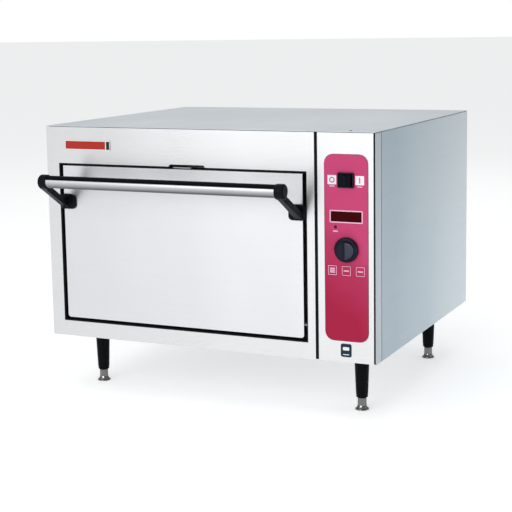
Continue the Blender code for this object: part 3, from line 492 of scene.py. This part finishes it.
# %% Give the frame's parts their finishes
CORNERS = ("front_left", "front_right", "rear_left", "rear_right")
SIDES = ("left", "right")
finishes = {
    front_steel: ["front_frame"],
    door_steel: ["door_outer_skin"],
    panel_steel: ["control_panel"],
    top_steel_painted_reflection: ["top_panel"],
    side_steel_painted_shading: ["right_side_panel", "left_side_panel"],
    post_steel_painted_shade: ["right_corner_post"],
    back_steel: ["back_panel"],
    plain_steel: ["base_plate", "compartment_divider"],
    chamber_steel: ["oven_chamber", "door_inner_liner", "deck_rack_left", "deck_rack_right"],
    tube_polish: ["handle_bar"],
    bright_wire: ["hinge_pin_left", "hinge_pin_right", "temperature_probe", "latch_catch"]
    + ["hinge_bush_" + side for side in SIDES]
    + ["door_spring_" + side for side in SIDES],
    bracket_nylon: ["handle_bracket_" + side for side in SIDES],
    grip_black: ["handle_grip"],
    sleeve_plastic: ["leg_sleeve_" + corner for corner in CORNERS] + ["cord_gland"],
    foot_polish_painted_reflection: ["levelling_foot_" + corner for corner in CORNERS],
    switch_plastic: ["switch_housing", "switch_rocker"],
    knob_plastic: ["control_knob"],
    inner_plastic: ["fan_frame", "fan_rotor"],
    rubber_seal_and_gap_shade: ["opening_seal"],
    gasket_rubber: ["door_gasket"],
    overlay_film: ["control_overlay", "key_1", "key_2", "key_3"],
    display_filter: ["display_module"],
    lamp_lens: ["indicator_lamp"],
    red_enamel: ["nameplate"],
    navy_enamel: ["rating_label"],
    deck_stone: ["lower_deck_stone", "upper_deck_stone"],
    mineral_wool: ["insulation_jacket", "door_insulation"],
    element_sheath: ["lower_element", "upper_element", "control_transformer"],
    circuit_board: ["control_board"],
    pale_plastic: ["dial_encoder", "heater_contactor"],
}
for finish, names in finishes.items():
    for name in names:
        slots = nodes[name].data.materials
        slots.clear()
        slots.append(finish)
dressed = {name for names in finishes.values() for name in names}
print("dressed", len(dressed), "parts; forgotten:", sorted(set(nodes) - dressed))

# %% [markdown]
# ## Making a new piece
# Each new piece is drawn in a bmesh at its real place and finished by one function: it turns the faces
# outwards, makes the object, gives it its material, and lets it ride on the body that it belongs to. The
# rest are the shapes that come back: a block, a plate with rounded corners, a plate with an opening, and a
# turned profile.


# %% Piece helpers
MERGE = 1e-6  # points closer than this are one point


def finish_piece(name, bm, material, body, smooth=None, merge=True):
    """Make a bmesh an object; smooth is the angle below which its faces shade as one."""
    if merge:
        bmesh.ops.remove_doubles(bm, verts=bm.verts, dist=MERGE)
    bmesh.ops.recalc_face_normals(bm, faces=bm.faces)
    mesh = bpy.data.meshes.new(name)
    bm.to_mesh(mesh)
    bm.free()
    if smooth is not None:
        mesh.shade_smooth()
        mesh.set_sharp_from_angle(angle=math.radians(smooth))
    mesh.materials.append(material)
    piece = bpy.data.objects.new(name, mesh)
    bpy.context.scene.collection.objects.link(piece)
    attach(piece, body)
    return piece


def add_block(bm, low, high):
    """A box between two corners, added to a bmesh; returns its vertices."""
    low, high = Vector(low), Vector(high)
    size = Matrix.Diagonal((*(high - low), 1.0))
    made = bmesh.ops.create_cube(bm, size=1.0, matrix=Matrix.Translation((low + high) / 2) @ size)
    return made["verts"]


def edges_along(bm, direction, verts=None):
    """Edges that run along a direction, of all or some vertices."""
    edges = bm.edges if verts is None else {e for v in verts for e in v.link_edges}
    axis = Vector(direction)
    return [e for e in edges if abs((e.verts[1].co - e.verts[0].co).normalized().dot(axis)) > 0.99]


def round_edges(bm, edges, width, segments=3):
    return bmesh.ops.bevel(
        bm,
        geom=list(edges),
        offset=width,
        segments=segments,
        profile=0.5,
        affect="EDGES",
        material=-1,
        clamp_overlap=True,
    )


def plate(low, high, radius, segments=4):
    """A thin plate in the front plane with rounded corners."""
    bm = bmesh.new()
    add_block(bm, low, high)
    if radius > 0:
        round_edges(bm, edges_along(bm, (0, 1, 0)), radius, segments)
    return bm


def ring_plate(low, high, radius, width):
    """A plate with its middle open: both faces are inset, removed, and bridged."""
    bm = plate(low, high, radius)
    bm.faces.ensure_lookup_table()
    ends = [f for f in bm.faces if abs(f.normal.y) > 0.99]
    bmesh.ops.inset_individual(bm, faces=ends, thickness=width, use_even_offset=True)
    inner = [e for f in ends for e in f.edges]
    bmesh.ops.delete(bm, geom=ends, context="FACES_ONLY")
    bmesh.ops.bridge_loops(bm, edges=inner)
    return bm


def turned(profile, centre, axis, steps, closed=False):
    """Spin (radius, along) points round an axis through the centre."""
    bm = bmesh.new()
    axis = Vector(axis)
    side = Vector((0, 0, 1)) if abs(axis.z) < 0.5 else Vector((1, 0, 0))
    centre = Vector(centre)
    points = [bm.verts.new(centre + side * radius + axis * along) for radius, along in profile]
    edges = [bm.edges.new(pair) for pair in zip(points, points[1:])]
    if closed:
        edges.append(bm.edges.new((points[-1], points[0])))
    spun = {"cent": centre, "axis": axis, "angle": math.tau, "steps": steps, "use_merge": True}
    bmesh.ops.spin(bm, geom=points + edges, **spun)
    bmesh.ops.remove_doubles(bm, verts=bm.verts, dist=MERGE)
    return bm


def arc(centre_r, centre_h, radius, start, end, steps=5):
    """Points of a rounded corner in a turned profile; angles in degrees."""
    turns = [math.radians(start + (end - start) * i / steps) for i in range(steps + 1)]
    return [(centre_r + radius * math.cos(a), centre_h + radius * math.sin(a)) for a in turns]


print("piece helpers ready")

# %% [markdown]
# ## Moulded handle brackets
# The working bracket is a drum, an arm and a pad with sharp joins. A real moulding has a fillet in every
# corner. Remeshing the part into small voxels joins its pieces into one skin, and a few rounds of
# smoothing pull the joins into fillets. Both stay modifiers on a merged copy of the frame's part.

# %% Soften the brackets
for side in SIDES:
    bm = bmesh.new()
    bm.from_mesh(nodes["handle_bracket_" + side].data)
    bracket = finish_piece("bracket_" + side, bm, bracket_nylon, "door")
    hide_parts("handle_bracket_" + side)
    remesh = bracket.modifiers.new("skin", "REMESH")
    remesh.mode = "VOXEL"
    remesh.voxel_size = 0.0008
    remesh.use_smooth_shade = True
    soften = bracket.modifiers.new("fillets", "SMOOTH")
    soften.factor = 0.7
    soften.iterations = 16
print("softened", len(SIDES), "brackets")

# %% [markdown]
# ## The legs
# A leg is a tapered plastic sleeve with rounded ends and a small lip at its mouth. The foot inside it is
# turned from polished steel: a thin flange on the floor, a concave flare, a straight shank, and a stem
# that stays in the sleeve's bore when the foot is let down. Cylinders and cones could be stacked, but
# their joins would be sharp. Both parts are surfaces of revolution, so their profile is drawn once, with
# arcs for the rounded places, and spun.


# %% Legs
SLEEVE_TOP_R, SLEEVE_MOUTH_R, LIP_STEP = 0.0148, 0.0115, 0.0003
BORE_R, BORE_DEPTH = 0.0066, 0.060
STEM_R, STEM_REACH = 0.0060, 0.055
SHANK_R, FLANGE_EDGE, FLARE_R, FLARE_STRETCH = 0.0088, 0.0012, 0.0040, 2.2
FLANGE_TOP = 0.0030
LEG_STEPS = 48


def sleeve_profile(low, high):
    top_edge, mouth_edge = 0.0010, 0.0010
    profile = [(0, high), (SLEEVE_TOP_R - top_edge, high)]
    profile += arc(SLEEVE_TOP_R - top_edge, high - top_edge, top_edge, 90, 0, 3)
    profile += [(SLEEVE_MOUTH_R + LIP_STEP, low + 0.0060), (SLEEVE_MOUTH_R - LIP_STEP, low + 0.0054)]
    profile += arc(SLEEVE_MOUTH_R - mouth_edge, low + mouth_edge, mouth_edge, 0, -90, 4)
    return profile + [(BORE_R, low), (BORE_R, low + BORE_DEPTH), (0, low + BORE_DEPTH)]


def foot_profile(flange, mouth):
    profile = [(0, 0), (flange - FLANGE_EDGE, 0)]
    profile += arc(flange - FLANGE_EDGE, FLANGE_EDGE, FLANGE_EDGE, -90, 70, 5)
    flare = arc(SHANK_R + FLARE_R, FLANGE_TOP + FLARE_R, FLARE_R, 265, 180, 8)
    profile += [(r, FLANGE_TOP + (h - FLANGE_TOP) * FLARE_STRETCH) for r, h in flare]
    shoulder = mouth - 0.0007
    profile += [(SHANK_R, shoulder - 0.0009), (SHANK_R - 0.0008, shoulder), (STEM_R, shoulder)]
    return profile + [(STEM_R, mouth + STEM_REACH), (0, mouth + STEM_REACH)]


def leg_pieces(corner):
    sleeve_low, sleeve_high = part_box("leg_sleeve_" + corner)
    foot_low, foot_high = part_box("levelling_foot_" + corner)
    centre = (sleeve_low + sleeve_high) / 2
    base = Vector((centre.x, centre.y, 0))
    bm = turned(sleeve_profile(sleeve_low.z, sleeve_high.z), base, (0, 0, 1), LEG_STEPS)
    sleeve = finish_piece("turned_sleeve_" + corner, bm, sleeve_plastic, "oven_body", 35)
    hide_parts("leg_sleeve_" + corner)
    bm = turned(foot_profile((foot_high.x - foot_low.x) / 2, sleeve_low.z), base, (0, 0, 1), LEG_STEPS)
    foot = finish_piece("turned_foot_" + corner, bm, foot_polish_painted_reflection, "foot_" + corner, 35)
    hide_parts("levelling_foot_" + corner)


for corner in CORNERS:
    leg_pieces(corner)
print("legs:", len(CORNERS))

# %% [markdown]
# ## The rocker's ribs
# Three fine upright ribs at the rocker's waist stop a finger from slipping. They are blocks with rounded
# edges, sunk into the rocker, which is simpler than joining them to its skin and looks the same. They
# ride on the rocker, so they tilt with it.

# %% Rocker ribs
rocker_low, rocker_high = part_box("switch_rocker")
rocker_middle = (rocker_low + rocker_high) / 2
RIB_PITCH, RIB_HALF, RIB_DEPTH, RIB_MARGIN = 0.0016, 0.0004, 0.0050, 0.0018
waist_y = rocker_middle.y - 0.0018
ribs = bmesh.new()
for place in (-1, 0, 1):
    x = rocker_middle.x + place * RIB_PITCH
    rib_low = (x - RIB_HALF, waist_y - RIB_DEPTH, rocker_low.z + RIB_MARGIN)
    verts = add_block(ribs, rib_low, (x + RIB_HALF, waist_y, rocker_high.z - RIB_MARGIN))
    round_edges(ribs, edges_along(ribs, (0, 0, 1), verts), 0.00025, 2)
finish_piece("rocker_ribs", ribs, knob_plastic, "power_rocker")
print("rocker box", tuple(rocker_low), tuple(rocker_high))

# %% [markdown]
# ## Printed marks on the overlay
# The marks are a hair's thickness of ink in front of the film: white boxes with the off ring and the on
# bar, and short bars in place of captions. A pattern in the film's material could draw them, but thin real
# pieces stay sharp at any distance, and their edges can be placed from the parts they belong to. A grey
# line round the switch is a painted highlight on the moulded edge of its housing.

# %% Printed marks
film_front = overlay_low.y
INK = 0.00015  # how far ink stands in front of its surface
HAIR = 0.00002  # the gap behind it, so that two faces never share a plane


def printed(name, extent, material, radius=0.0, width=None, body="oven_body", front=film_front):
    """A printed bar or box, (low x, low z, high x, high z), on a surface; a width makes it an outline."""
    low_x, low_z, high_x, high_z = extent
    low, high = (low_x, front - INK, low_z), (high_x, front - HAIR, high_z)
    bm = plate(low, high, radius) if width is None else ring_plate(low, high, radius, width)
    return finish_piece(name, bm, material, body)


switch_low, switch_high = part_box("switch_housing")
mark_z = (switch_low.z + switch_high.z) / 2
BOX_HALF, BOX_CORNER = 0.0084, 0.0008
CAPTION_HALF = 0.0048
off_x, on_x = switch_low.x - 0.0113, switch_high.x + 0.0108
for name, x in (("off", off_x), ("on", on_x)):
    box_low = mark_z - BOX_HALF
    box = (x - BOX_HALF, box_low, x + BOX_HALF, mark_z + BOX_HALF)
    printed("mark_" + name + "_box", box, white_ink, BOX_CORNER)
    caption = (x - CAPTION_HALF, box_low - 0.0040, x + CAPTION_HALF, box_low - 0.0022)
    printed("mark_" + name + "_caption", caption, pink_ink)
ring_front = film_front - INK
RING_IN, RING_OUT = 0.0034, 0.0054
ring = [(RING_IN, 0.0), (RING_OUT, 0.0), (RING_OUT, INK), (RING_IN, INK)]
off_ring = turned(ring, (off_x, ring_front - HAIR, mark_z), (0, -1, 0), 40, closed=True)
finish_piece("mark_off_ring", off_ring, violet_ink, "oven_body")
bar = (on_x - 0.0010, mark_z - 0.0052, on_x + 0.0010, mark_z + 0.0052)
printed("mark_on_bar", bar, violet_ink, front=ring_front)
BEZEL_INSET = 0.0006
# The grey line round the switch is a painted highlight on its housing's moulded edge.
bezel = ring_plate(
    (switch_low.x + BEZEL_INSET, switch_low.y - 0.00015, switch_low.z + BEZEL_INSET),
    (switch_high.x - BEZEL_INSET, switch_low.y + 0.0001, switch_high.z - BEZEL_INSET),
    radius=0.0012,
    width=0.0009,
)
finish_piece("switch_edge_painted_highlight", bezel, bezel_painted_highlight, "oven_body", 30)
print("switch marks at", round(off_x, 4), round(on_x, 4))

# %% [markdown]
# ## The display's frame
# A pale line frames the display window, and a short bar stands for the lamp's caption. The frame is one
# plate with its middle opened, not four strips, so its corners are whole and its width is even.

# %% Display frame and lamp caption
display_low, display_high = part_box("display_module")
BORDER = 0.0021
window = (display_low.x - BORDER, display_low.z - BORDER, display_high.x + BORDER, display_high.z + BORDER)
printed("display_frame", window, pink_ink, radius=0.0016, width=BORDER + 0.0002)
lamp_low, lamp_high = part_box("indicator_lamp")
lamp_x = (lamp_low.x + lamp_high.x) / 2
caption = (lamp_x - 0.0045, lamp_low.z - 0.0062, lamp_x + 0.0045, lamp_low.z - 0.0040)
printed("lamp_caption", caption, pink_ink)
print("display", tuple(display_high - display_low))

# %% [markdown]
# ## The keys' marks
# The keys are places in the film that give way under a finger. Each has a rounded outline, with short bars
# where its symbol or caption would be. As separate pieces they can ride on their keys and go in with them,
# which a pattern in the film's colour could not do.

# %% Key outlines and symbols
KEY_INSET, KEY_LINE = 0.0004, 0.0009
KEY_BAR_HALF, KEY_BAR_THICK, KEY_ROW = 0.0050, 0.0011, 0.0034


def key_marks(number):
    """An outline and its bars: three rows on the first key, one on the others."""
    body = "key_%d" % number
    low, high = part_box(body)
    outline = (low.x + KEY_INSET, low.z + KEY_INSET, high.x - KEY_INSET, high.z - KEY_INSET)
    printed(body + "_outline", outline, pink_ink, 0.0012, KEY_LINE, body, low.y)
    x, z = (low.x + high.x) / 2, (low.z + high.z) / 2
    rows = (KEY_ROW, 0.0, -KEY_ROW) if number == 1 else (0.0,)
    for row, lift in enumerate(rows):
        bar_z = z + lift
        bar = (x - KEY_BAR_HALF, bar_z - KEY_BAR_THICK, x + KEY_BAR_HALF, bar_z + KEY_BAR_THICK)
        printed(body + "_bar_%d" % row, bar, pink_ink, body=body, front=low.y)


for number in (1, 2, 3):
    key_marks(number)
print("key marks on 3 keys")

# %% [markdown]
# ## The overlay's edge
# A dark line runs round the film where its cut edge shows. It is a narrow plate with its middle opened,
# sunk behind the film so that only its rim stands out.

# %% Overlay edge
RIM = 0.0007
edge = ring_plate(
    (overlay_low.x - RIM, overlay_high.y - 0.0004, overlay_low.z - RIM),
    (overlay_high.x + RIM, overlay_high.y + 0.0001, overlay_high.z + RIM),
    radius=0.0172,
    width=0.0012,
)
finish_piece("overlay_edge", edge, edge_ink, "oven_body", 30)
print("overlay edge made")

# %% [markdown]
# ## Painted shade in the panel's gaps, and a joint seal
# The control panel pulls out, and a black strip on each side of it is painted shade that keeps the gap
# dark; a thin rubber strip lies in the joint between the corner post and the side sheet. An extruded
# strip is a block with its front edges rounded. It stands a little behind the sheets, so the gap keeps its
# depth.

# %% Painted gap shade and joint seal
frame_low, frame_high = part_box("front_frame")
panel_low, panel_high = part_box("control_panel")
post_low, post_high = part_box("right_corner_post")
front_y = frame_low.y
CLEAR, STRIP_BACK = 0.0003, 0.0150
# The two panel strips are painted shade: black pieces that keep the panel's gaps dark.
strips = {  # name: low x, high x, and how far its face stands behind the front
    "panel_seal_left": (frame_high.x + CLEAR, panel_low.x - CLEAR, 0.0022),
    "panel_seal_right": (panel_high.x + CLEAR, post_high.x - 0.0015, 0.0014),
}
for name, (low_x, high_x, start) in strips.items():
    bm = bmesh.new()
    face_y = front_y + start
    add_block(bm, (low_x, face_y, panel_low.z), (high_x, front_y + STRIP_BACK, panel_high.z))
    front_edges = [e for e in edges_along(bm, (0, 0, 1)) if e.verts[0].co.y < face_y + 0.0001]
    round_edges(bm, front_edges, 0.0006, 2)
    finish_piece(name, bm, rubber_seal_and_gap_shade, "oven_body")
joint = bmesh.new()
joint_low = (post_high.x - 0.0008, post_high.y - 0.0004, post_low.z)
joint_high = (post_high.x + 0.00003, post_high.y + 0.0016, post_high.z)
add_block(joint, joint_low, joint_high)
finish_piece("side_joint_seal", joint, rubber_seal_and_gap_shade, "oven_body")
print("seal strips:", len(strips) + 1)

# %% [markdown]
# ## The blank nameplate and label
# The nameplate has a pale raised rim, a pale divider and a dark end, and the label low on the panel has a
# pale field and a pale line. They say that something is marked there, and no more. Each field is a thin
# layer of enamel on the frame's own plate.

# %% Blank nameplate and label
name_low, name_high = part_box("nameplate")
name_front = name_low.y


def on_plate(name, extent, face, layer, material, radius):
    """A thin layer, (low x, low z, high x, high z), on a plate whose face is at a depth."""
    low_x, low_z, high_x, high_z = extent
    bm = plate((low_x, face - layer, low_z), (high_x, face - HAIR, high_z), radius)
    return finish_piece(name, bm, material, "oven_body")


RIM_PROUD, ENAMEL = 0.0006, 0.0002
plate_rim = ring_plate(
    (name_low.x - RIM_PROUD, name_front - 0.0003, name_low.z - RIM_PROUD),
    (name_high.x + RIM_PROUD, name_front + 0.0004, name_high.z + RIM_PROUD),
    radius=0.0010,
    width=0.0012,
)
finish_piece("nameplate_rim", plate_rim, pale_enamel, "oven_body")
dark_start = name_high.x - 0.0078
mark_low, mark_high = name_low.z + 0.0005, name_high.z - 0.0005
divider = (dark_start - 0.0022, mark_low, dark_start, mark_high)
on_plate("nameplate_divider", divider, name_front, ENAMEL, pale_enamel, 0)
dark_end = (dark_start, mark_low, name_high.x - 0.0006, mark_high)
on_plate("nameplate_end", dark_end, name_front, ENAMEL, dark_enamel, 0.0012)
label_low, label_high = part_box("rating_label")
label_x = (label_low.x + label_high.x) / 2
field = (label_x - 0.0062, label_low.z + 0.0125, label_x + 0.0062, label_high.z - 0.0062)
on_plate("label_field", field, label_low.y, INK, pale_enamel, 0.0016)
line = (label_x - 0.0060, label_low.z + 0.0040, label_x + 0.0060, label_low.z + 0.0054)
on_plate("label_line", line, label_low.y, INK, pale_enamel, 0)
print("blank plates made")

# %% [markdown]
# ## Screws
# Sheet-metal screws hold the casing together. One dark screw shows on the top near the control panel, and
# eight hold the back panel. Each is a low domed head, spun from its profile, with a cross in it. Booleans
# could cut the cross, but on a head this small two thin crossing bars, a hair proud of the dome, read the
# same and stay light.


# %% Screws
HEAD_HEIGHT, CROSS_PROUD = 0.0016, 0.00005


def add_screw(bm, centre, outward, radius):
    """A domed head on a surface, with the two bars of its cross in the same mesh."""
    dome = radius * 0.9
    profile = [(0, 0), (radius, 0), (radius, HEAD_HEIGHT * 0.35)]
    profile += arc(0, HEAD_HEIGHT - dome, dome, 40, 90, 4)
    head = turned(profile, (0, 0, 0), (0, 0, 1), 18)
    reach, half = radius * 0.45, radius * 0.11
    for x, y in ((reach, half), (half, reach)):
        add_block(head, (-x, -y, HEAD_HEIGHT * 0.5), (x, y, HEAD_HEIGHT + CROSS_PROUD))
    turn = Vector(outward).to_track_quat("Z", "Y").to_matrix().to_4x4()
    bmesh.ops.transform(head, matrix=Matrix.Translation(centre) @ turn, verts=head.verts)
    holder = bpy.data.meshes.new("screw")
    head.to_mesh(holder)
    head.free()
    bm.from_mesh(holder)
    bpy.data.meshes.remove(holder)


def screw_set(name, places, outward, material, radius):
    """Screws with one finish and one direction, as one piece."""
    bm = bmesh.new()
    for place in places:
        add_screw(bm, Vector(place), outward, radius)
    return finish_piece(name, bm, material, "oven_body", 40, merge=False)


top_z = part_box("top_panel")[1].z
TOP_SCREW = (0.2940, -0.23825, top_z - 0.0011)  # sunk, so that 0.5 mm of its head stands proud
screw_set("top_screw", [TOP_SCREW], (0, 0, 1), inner_plastic, 0.0056)
back_low, back_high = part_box("back_panel")
middle_x, middle_z = (back_low.x + back_high.x) / 2, (back_low.z + back_high.z) / 2
rows_x = (back_low.x + 0.012, middle_x, back_high.x - 0.012)
rows_z = (back_low.z + 0.016, middle_z, back_high.z - 0.020)
head_y = back_high.y - 0.0002
places = [(x, head_y, z) for x in rows_x for z in rows_z if (x, z) != (middle_x, middle_z)]
screw_set("back_screws", places, (0, 1, 0), screw_steel, 0.0038)
print("back screws:", len(places))

# %% [markdown]
# ## Sheet edges
# A cut or folded sheet has a small radius that catches a line of light. The frame's meshes are loose
# triangles, so each is copied, its doubles are merged and its flat triangles dissolved. A bevel on the
# edges that turn sharply then gives the radius, and the new piece stands for the frame's part. Weighted
# normals keep the large faces flat in shading; without them each sheet would reflect like a cushion. The
# same recipe softens the stones, the door gasket, the rocker, the knob and the keys.


# %% Rounded copies of the frame's parts
WELD = 0.00002  # the frame's triangles meet within this


def refined(name, width, body, segments=3, angle=38, corner=None):
    """Copy a part with its sharp edges rounded; a corner is (place, radius) for one upright bend."""
    bm = bmesh.new()
    bm.from_mesh(nodes[name].data)
    bmesh.ops.remove_doubles(bm, verts=bm.verts, dist=WELD)
    bmesh.ops.dissolve_limit(bm, angle_limit=math.radians(0.5), verts=bm.verts, edges=bm.edges)
    if corner is not None:
        (x, z), radius = corner
        near = [v for v in bm.verts if abs(v.co.x - x) < 0.0001 and abs(v.co.z - z) < 0.0001]
        bend = [e for e in edges_along(bm, (0, 1, 0), near) if all(v in near for v in e.verts)]
        round_edges(bm, bend, radius, 5)
    least = math.radians(angle)
    sharp = [e for e in bm.edges if len(e.link_faces) == 2 and e.calc_face_angle(0) > least]
    round_edges(bm, sharp, width, segments)
    bmesh.ops.triangulate(bm, faces=[f for f in bm.faces if len(f.verts) > 4])
    mesh = bpy.data.meshes.new(name + "_finished")
    bm.to_mesh(mesh)
    bm.free()
    mesh.shade_smooth()
    mesh.set_sharp_from_angle(angle=math.radians(32))
    mesh.materials.append(nodes[name].data.materials[0])
    piece = bpy.data.objects.new(name + "_finished", mesh)
    bpy.context.scene.collection.objects.link(piece)
    even = piece.modifiers.new("flat_faces", "WEIGHTED_NORMAL")
    even.keep_sharp = True
    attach(piece, body)
    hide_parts(name)


softened = {  # part: radius and record finish
    "top_panel": (0.0006, "steel_plain"),
    "right_side_panel": (0.0005, "steel_side"),
    "left_side_panel": (0.0005, "steel_side"),
    "right_corner_post": (0.0005, "steel_side"),
    "back_panel": (0.0004, "steel_plain"),
    "lower_deck_stone": (0.0015, "deck_stone"),
    "upper_deck_stone": (0.0015, "deck_stone"),
    "door_gasket": (0.0012, "black_rubber"),
}
for name, (width, slot) in softened.items():
    refined(name, width, "oven_body")
FOLDED_CORNER = ((frame_low.x, frame_low.z), 0.0030)
refined("front_frame", 0.0006, "oven_body", corner=FOLDED_CORNER)
refined("switch_rocker", 0.0005, "power_rocker")
refined("control_knob", 0.0004, "dial", 2, 28)
for number in (1, 2, 3):
    refined("key_%d" % number, 0.0003, "key_%d" % number, 2)
print("rounded copies:", len(softened) + 6)

# %% [markdown]
# ## The floor
# A product like this stands on a white sweep that fades into the background. A large plane does that when
# it glows a little: the glow lifts it to the white of the background and still lets soft shadows show.

# %% Floor
FLOOR_HALF, FLOOR_GLOW = 60.0, 0.42
floor_mesh = bmesh.new()
bmesh.ops.create_grid(floor_mesh, x_segments=1, y_segments=1, size=FLOOR_HALF)
floor_data = bpy.data.meshes.new("floor")
floor_mesh.to_mesh(floor_data)
floor_mesh.free()
floor_material, floor_at = start_material("floor_white")
floor_colour = mix_colours(noise(floor_at, 3.0), (0.93, 0.93, 0.93), (0.95, 0.95, 0.95))
floor_constants = {"Roughness": 0.9, "Specular IOR Level": 0.0}
floor_constants.update({"Emission Color": (1, 1, 1, 1), "Emission Strength": FLOOR_GLOW})
end_material(floor_material, {"Base Color": floor_colour}, floor_constants)
floor_data.materials.append(floor_material)
floor = bpy.data.objects.new("floor", floor_data)
bpy.context.scene.collection.objects.link(floor)
floor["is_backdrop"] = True
print("floor ready")

# %% [markdown]
# ## The surroundings that the steel reflects
# Metal has no look of its own: it shows its surroundings. The world is bright in front, dimmer behind,
# dimmer and cooler at the right, and has a dark card at the far left, and these bands give the sheets
# their gradients. Cards and lamps all round could do this too, but a few ramps on the direction are
# lighter and easy to tune. Rays from the camera see plain white.

# %% World
world = bpy.data.worlds.new("studio")
bpy.context.scene.world = world
world.use_nodes = True
sky_tree = world.node_tree
sky_tree.nodes.clear()
sky = Wire(sky_tree)
direction = sky.node("ShaderNodeTexCoord", output="Generated")
along_x, along_y, along_z = (axis_of(direction, i) for i in range(3))
front = spread(along_y, -1.0, 0.6, 1.0, 0.62)
right = spread(along_x, -0.40, 0.0, 0.0, 0.17) + spread(along_x, 0.2, 1.0, 0.0, 0.28)
high = spread(along_z, 0.3, 1.0, 0.0, 0.25)
dark_card = spread(along_x, -0.80, -0.95, 0.0, 0.85)
level = (front - right - high) * (1 - dark_card)
tint = mix_colours(spread(along_x, 0.1, 0.9), (1.0, 1.0, 1.0), (0.80, 0.93, 1.0))
soft = sky.node("ShaderNodeBackground", None, {"Color": tint, "Strength": level})
white = sky.node("ShaderNodeBackground", None, {"Color": (1, 1, 1, 1), "Strength": 1.0})
camera_ray = sky.node("ShaderNodeLightPath", output="Is Camera Ray")
both = sky.node("ShaderNodeMixShader", None, {0: camera_ray, 1: soft, 2: white})
output = sky_tree.nodes.new("ShaderNodeOutputWorld")
sky_tree.links.new(both.socket, output.inputs["Surface"])
print("world ready")

# %% [markdown]
# ## Soft boxes
# Very large, weak area lights shape the oven without hard shadows. Two small ones are linked to a few
# pieces only: a cool one for the controls, whose black plastic would otherwise lose its shape, and one
# for the feet.

# %% Lights
def soft_box(name, place, target, size, power, colour=(1, 1, 1), only=()):
    """A rectangle of light, (width, height) in metres and power in watts; only names what it lights."""
    data = bpy.data.lights.new(name, "AREA")
    data.shape = "RECTANGLE"
    data.size, data.size_y = size
    data.energy = power
    data.color = colour
    light = bpy.data.objects.new(name, data)
    light.location = place
    light.visible_camera = False
    light.rotation_euler = (Vector(target) - Vector(place)).to_track_quat("-Z", "Y").to_euler()
    bpy.context.scene.collection.objects.link(light)
    if only:
        chosen = bpy.data.collections.new(name + "_receivers")
        for piece_name in only:
            chosen.objects.link(bpy.data.objects[piece_name])
        light.light_linking.receiver_collection = chosen


middle = (0, 0, 0.3)
COOL, COOLER = (0.90, 0.96, 1.0), (0.72, 0.80, 1.0)
controls = ["control_knob_finished", "rocker_ribs", "switch_rocker_finished"]
feet = ["turned_foot_" + corner for corner in CORNERS]
soft_box("front_box", (-0.6, -3.4, 1.6), middle, (2.6, 1.8), 26)
soft_box("top_box", (0.2, -0.4, 3.2), middle, (3.0, 3.0), 22)
soft_box("corner_box", (1.45, -1.75, 0.30), (0.29, -0.28, 0.30), (0.6, 0.6), 22, COOLER, controls)
soft_box("foot_box", (0.0, -2.6, 0.35), (0.2, 0, 0.05), (0.35, 0.5), 20, only=feet)
soft_box("right_box", (3.2, 0.8, 1.5), middle, (1.6, 1.6), 12, COOL)
soft_box("back_box", (-0.8, 3.2, 2.4), middle, (3.0, 2.0), 6)
bpy.context.scene.view_settings.view_transform = "Standard"
print("lights: 6")

# %% [markdown]
# ## The finished size
# The finish must not change the oven's real size. The finished model's box is printed.

# %% Print the finished size
low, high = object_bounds()
print("visual box", list(low), list(high))
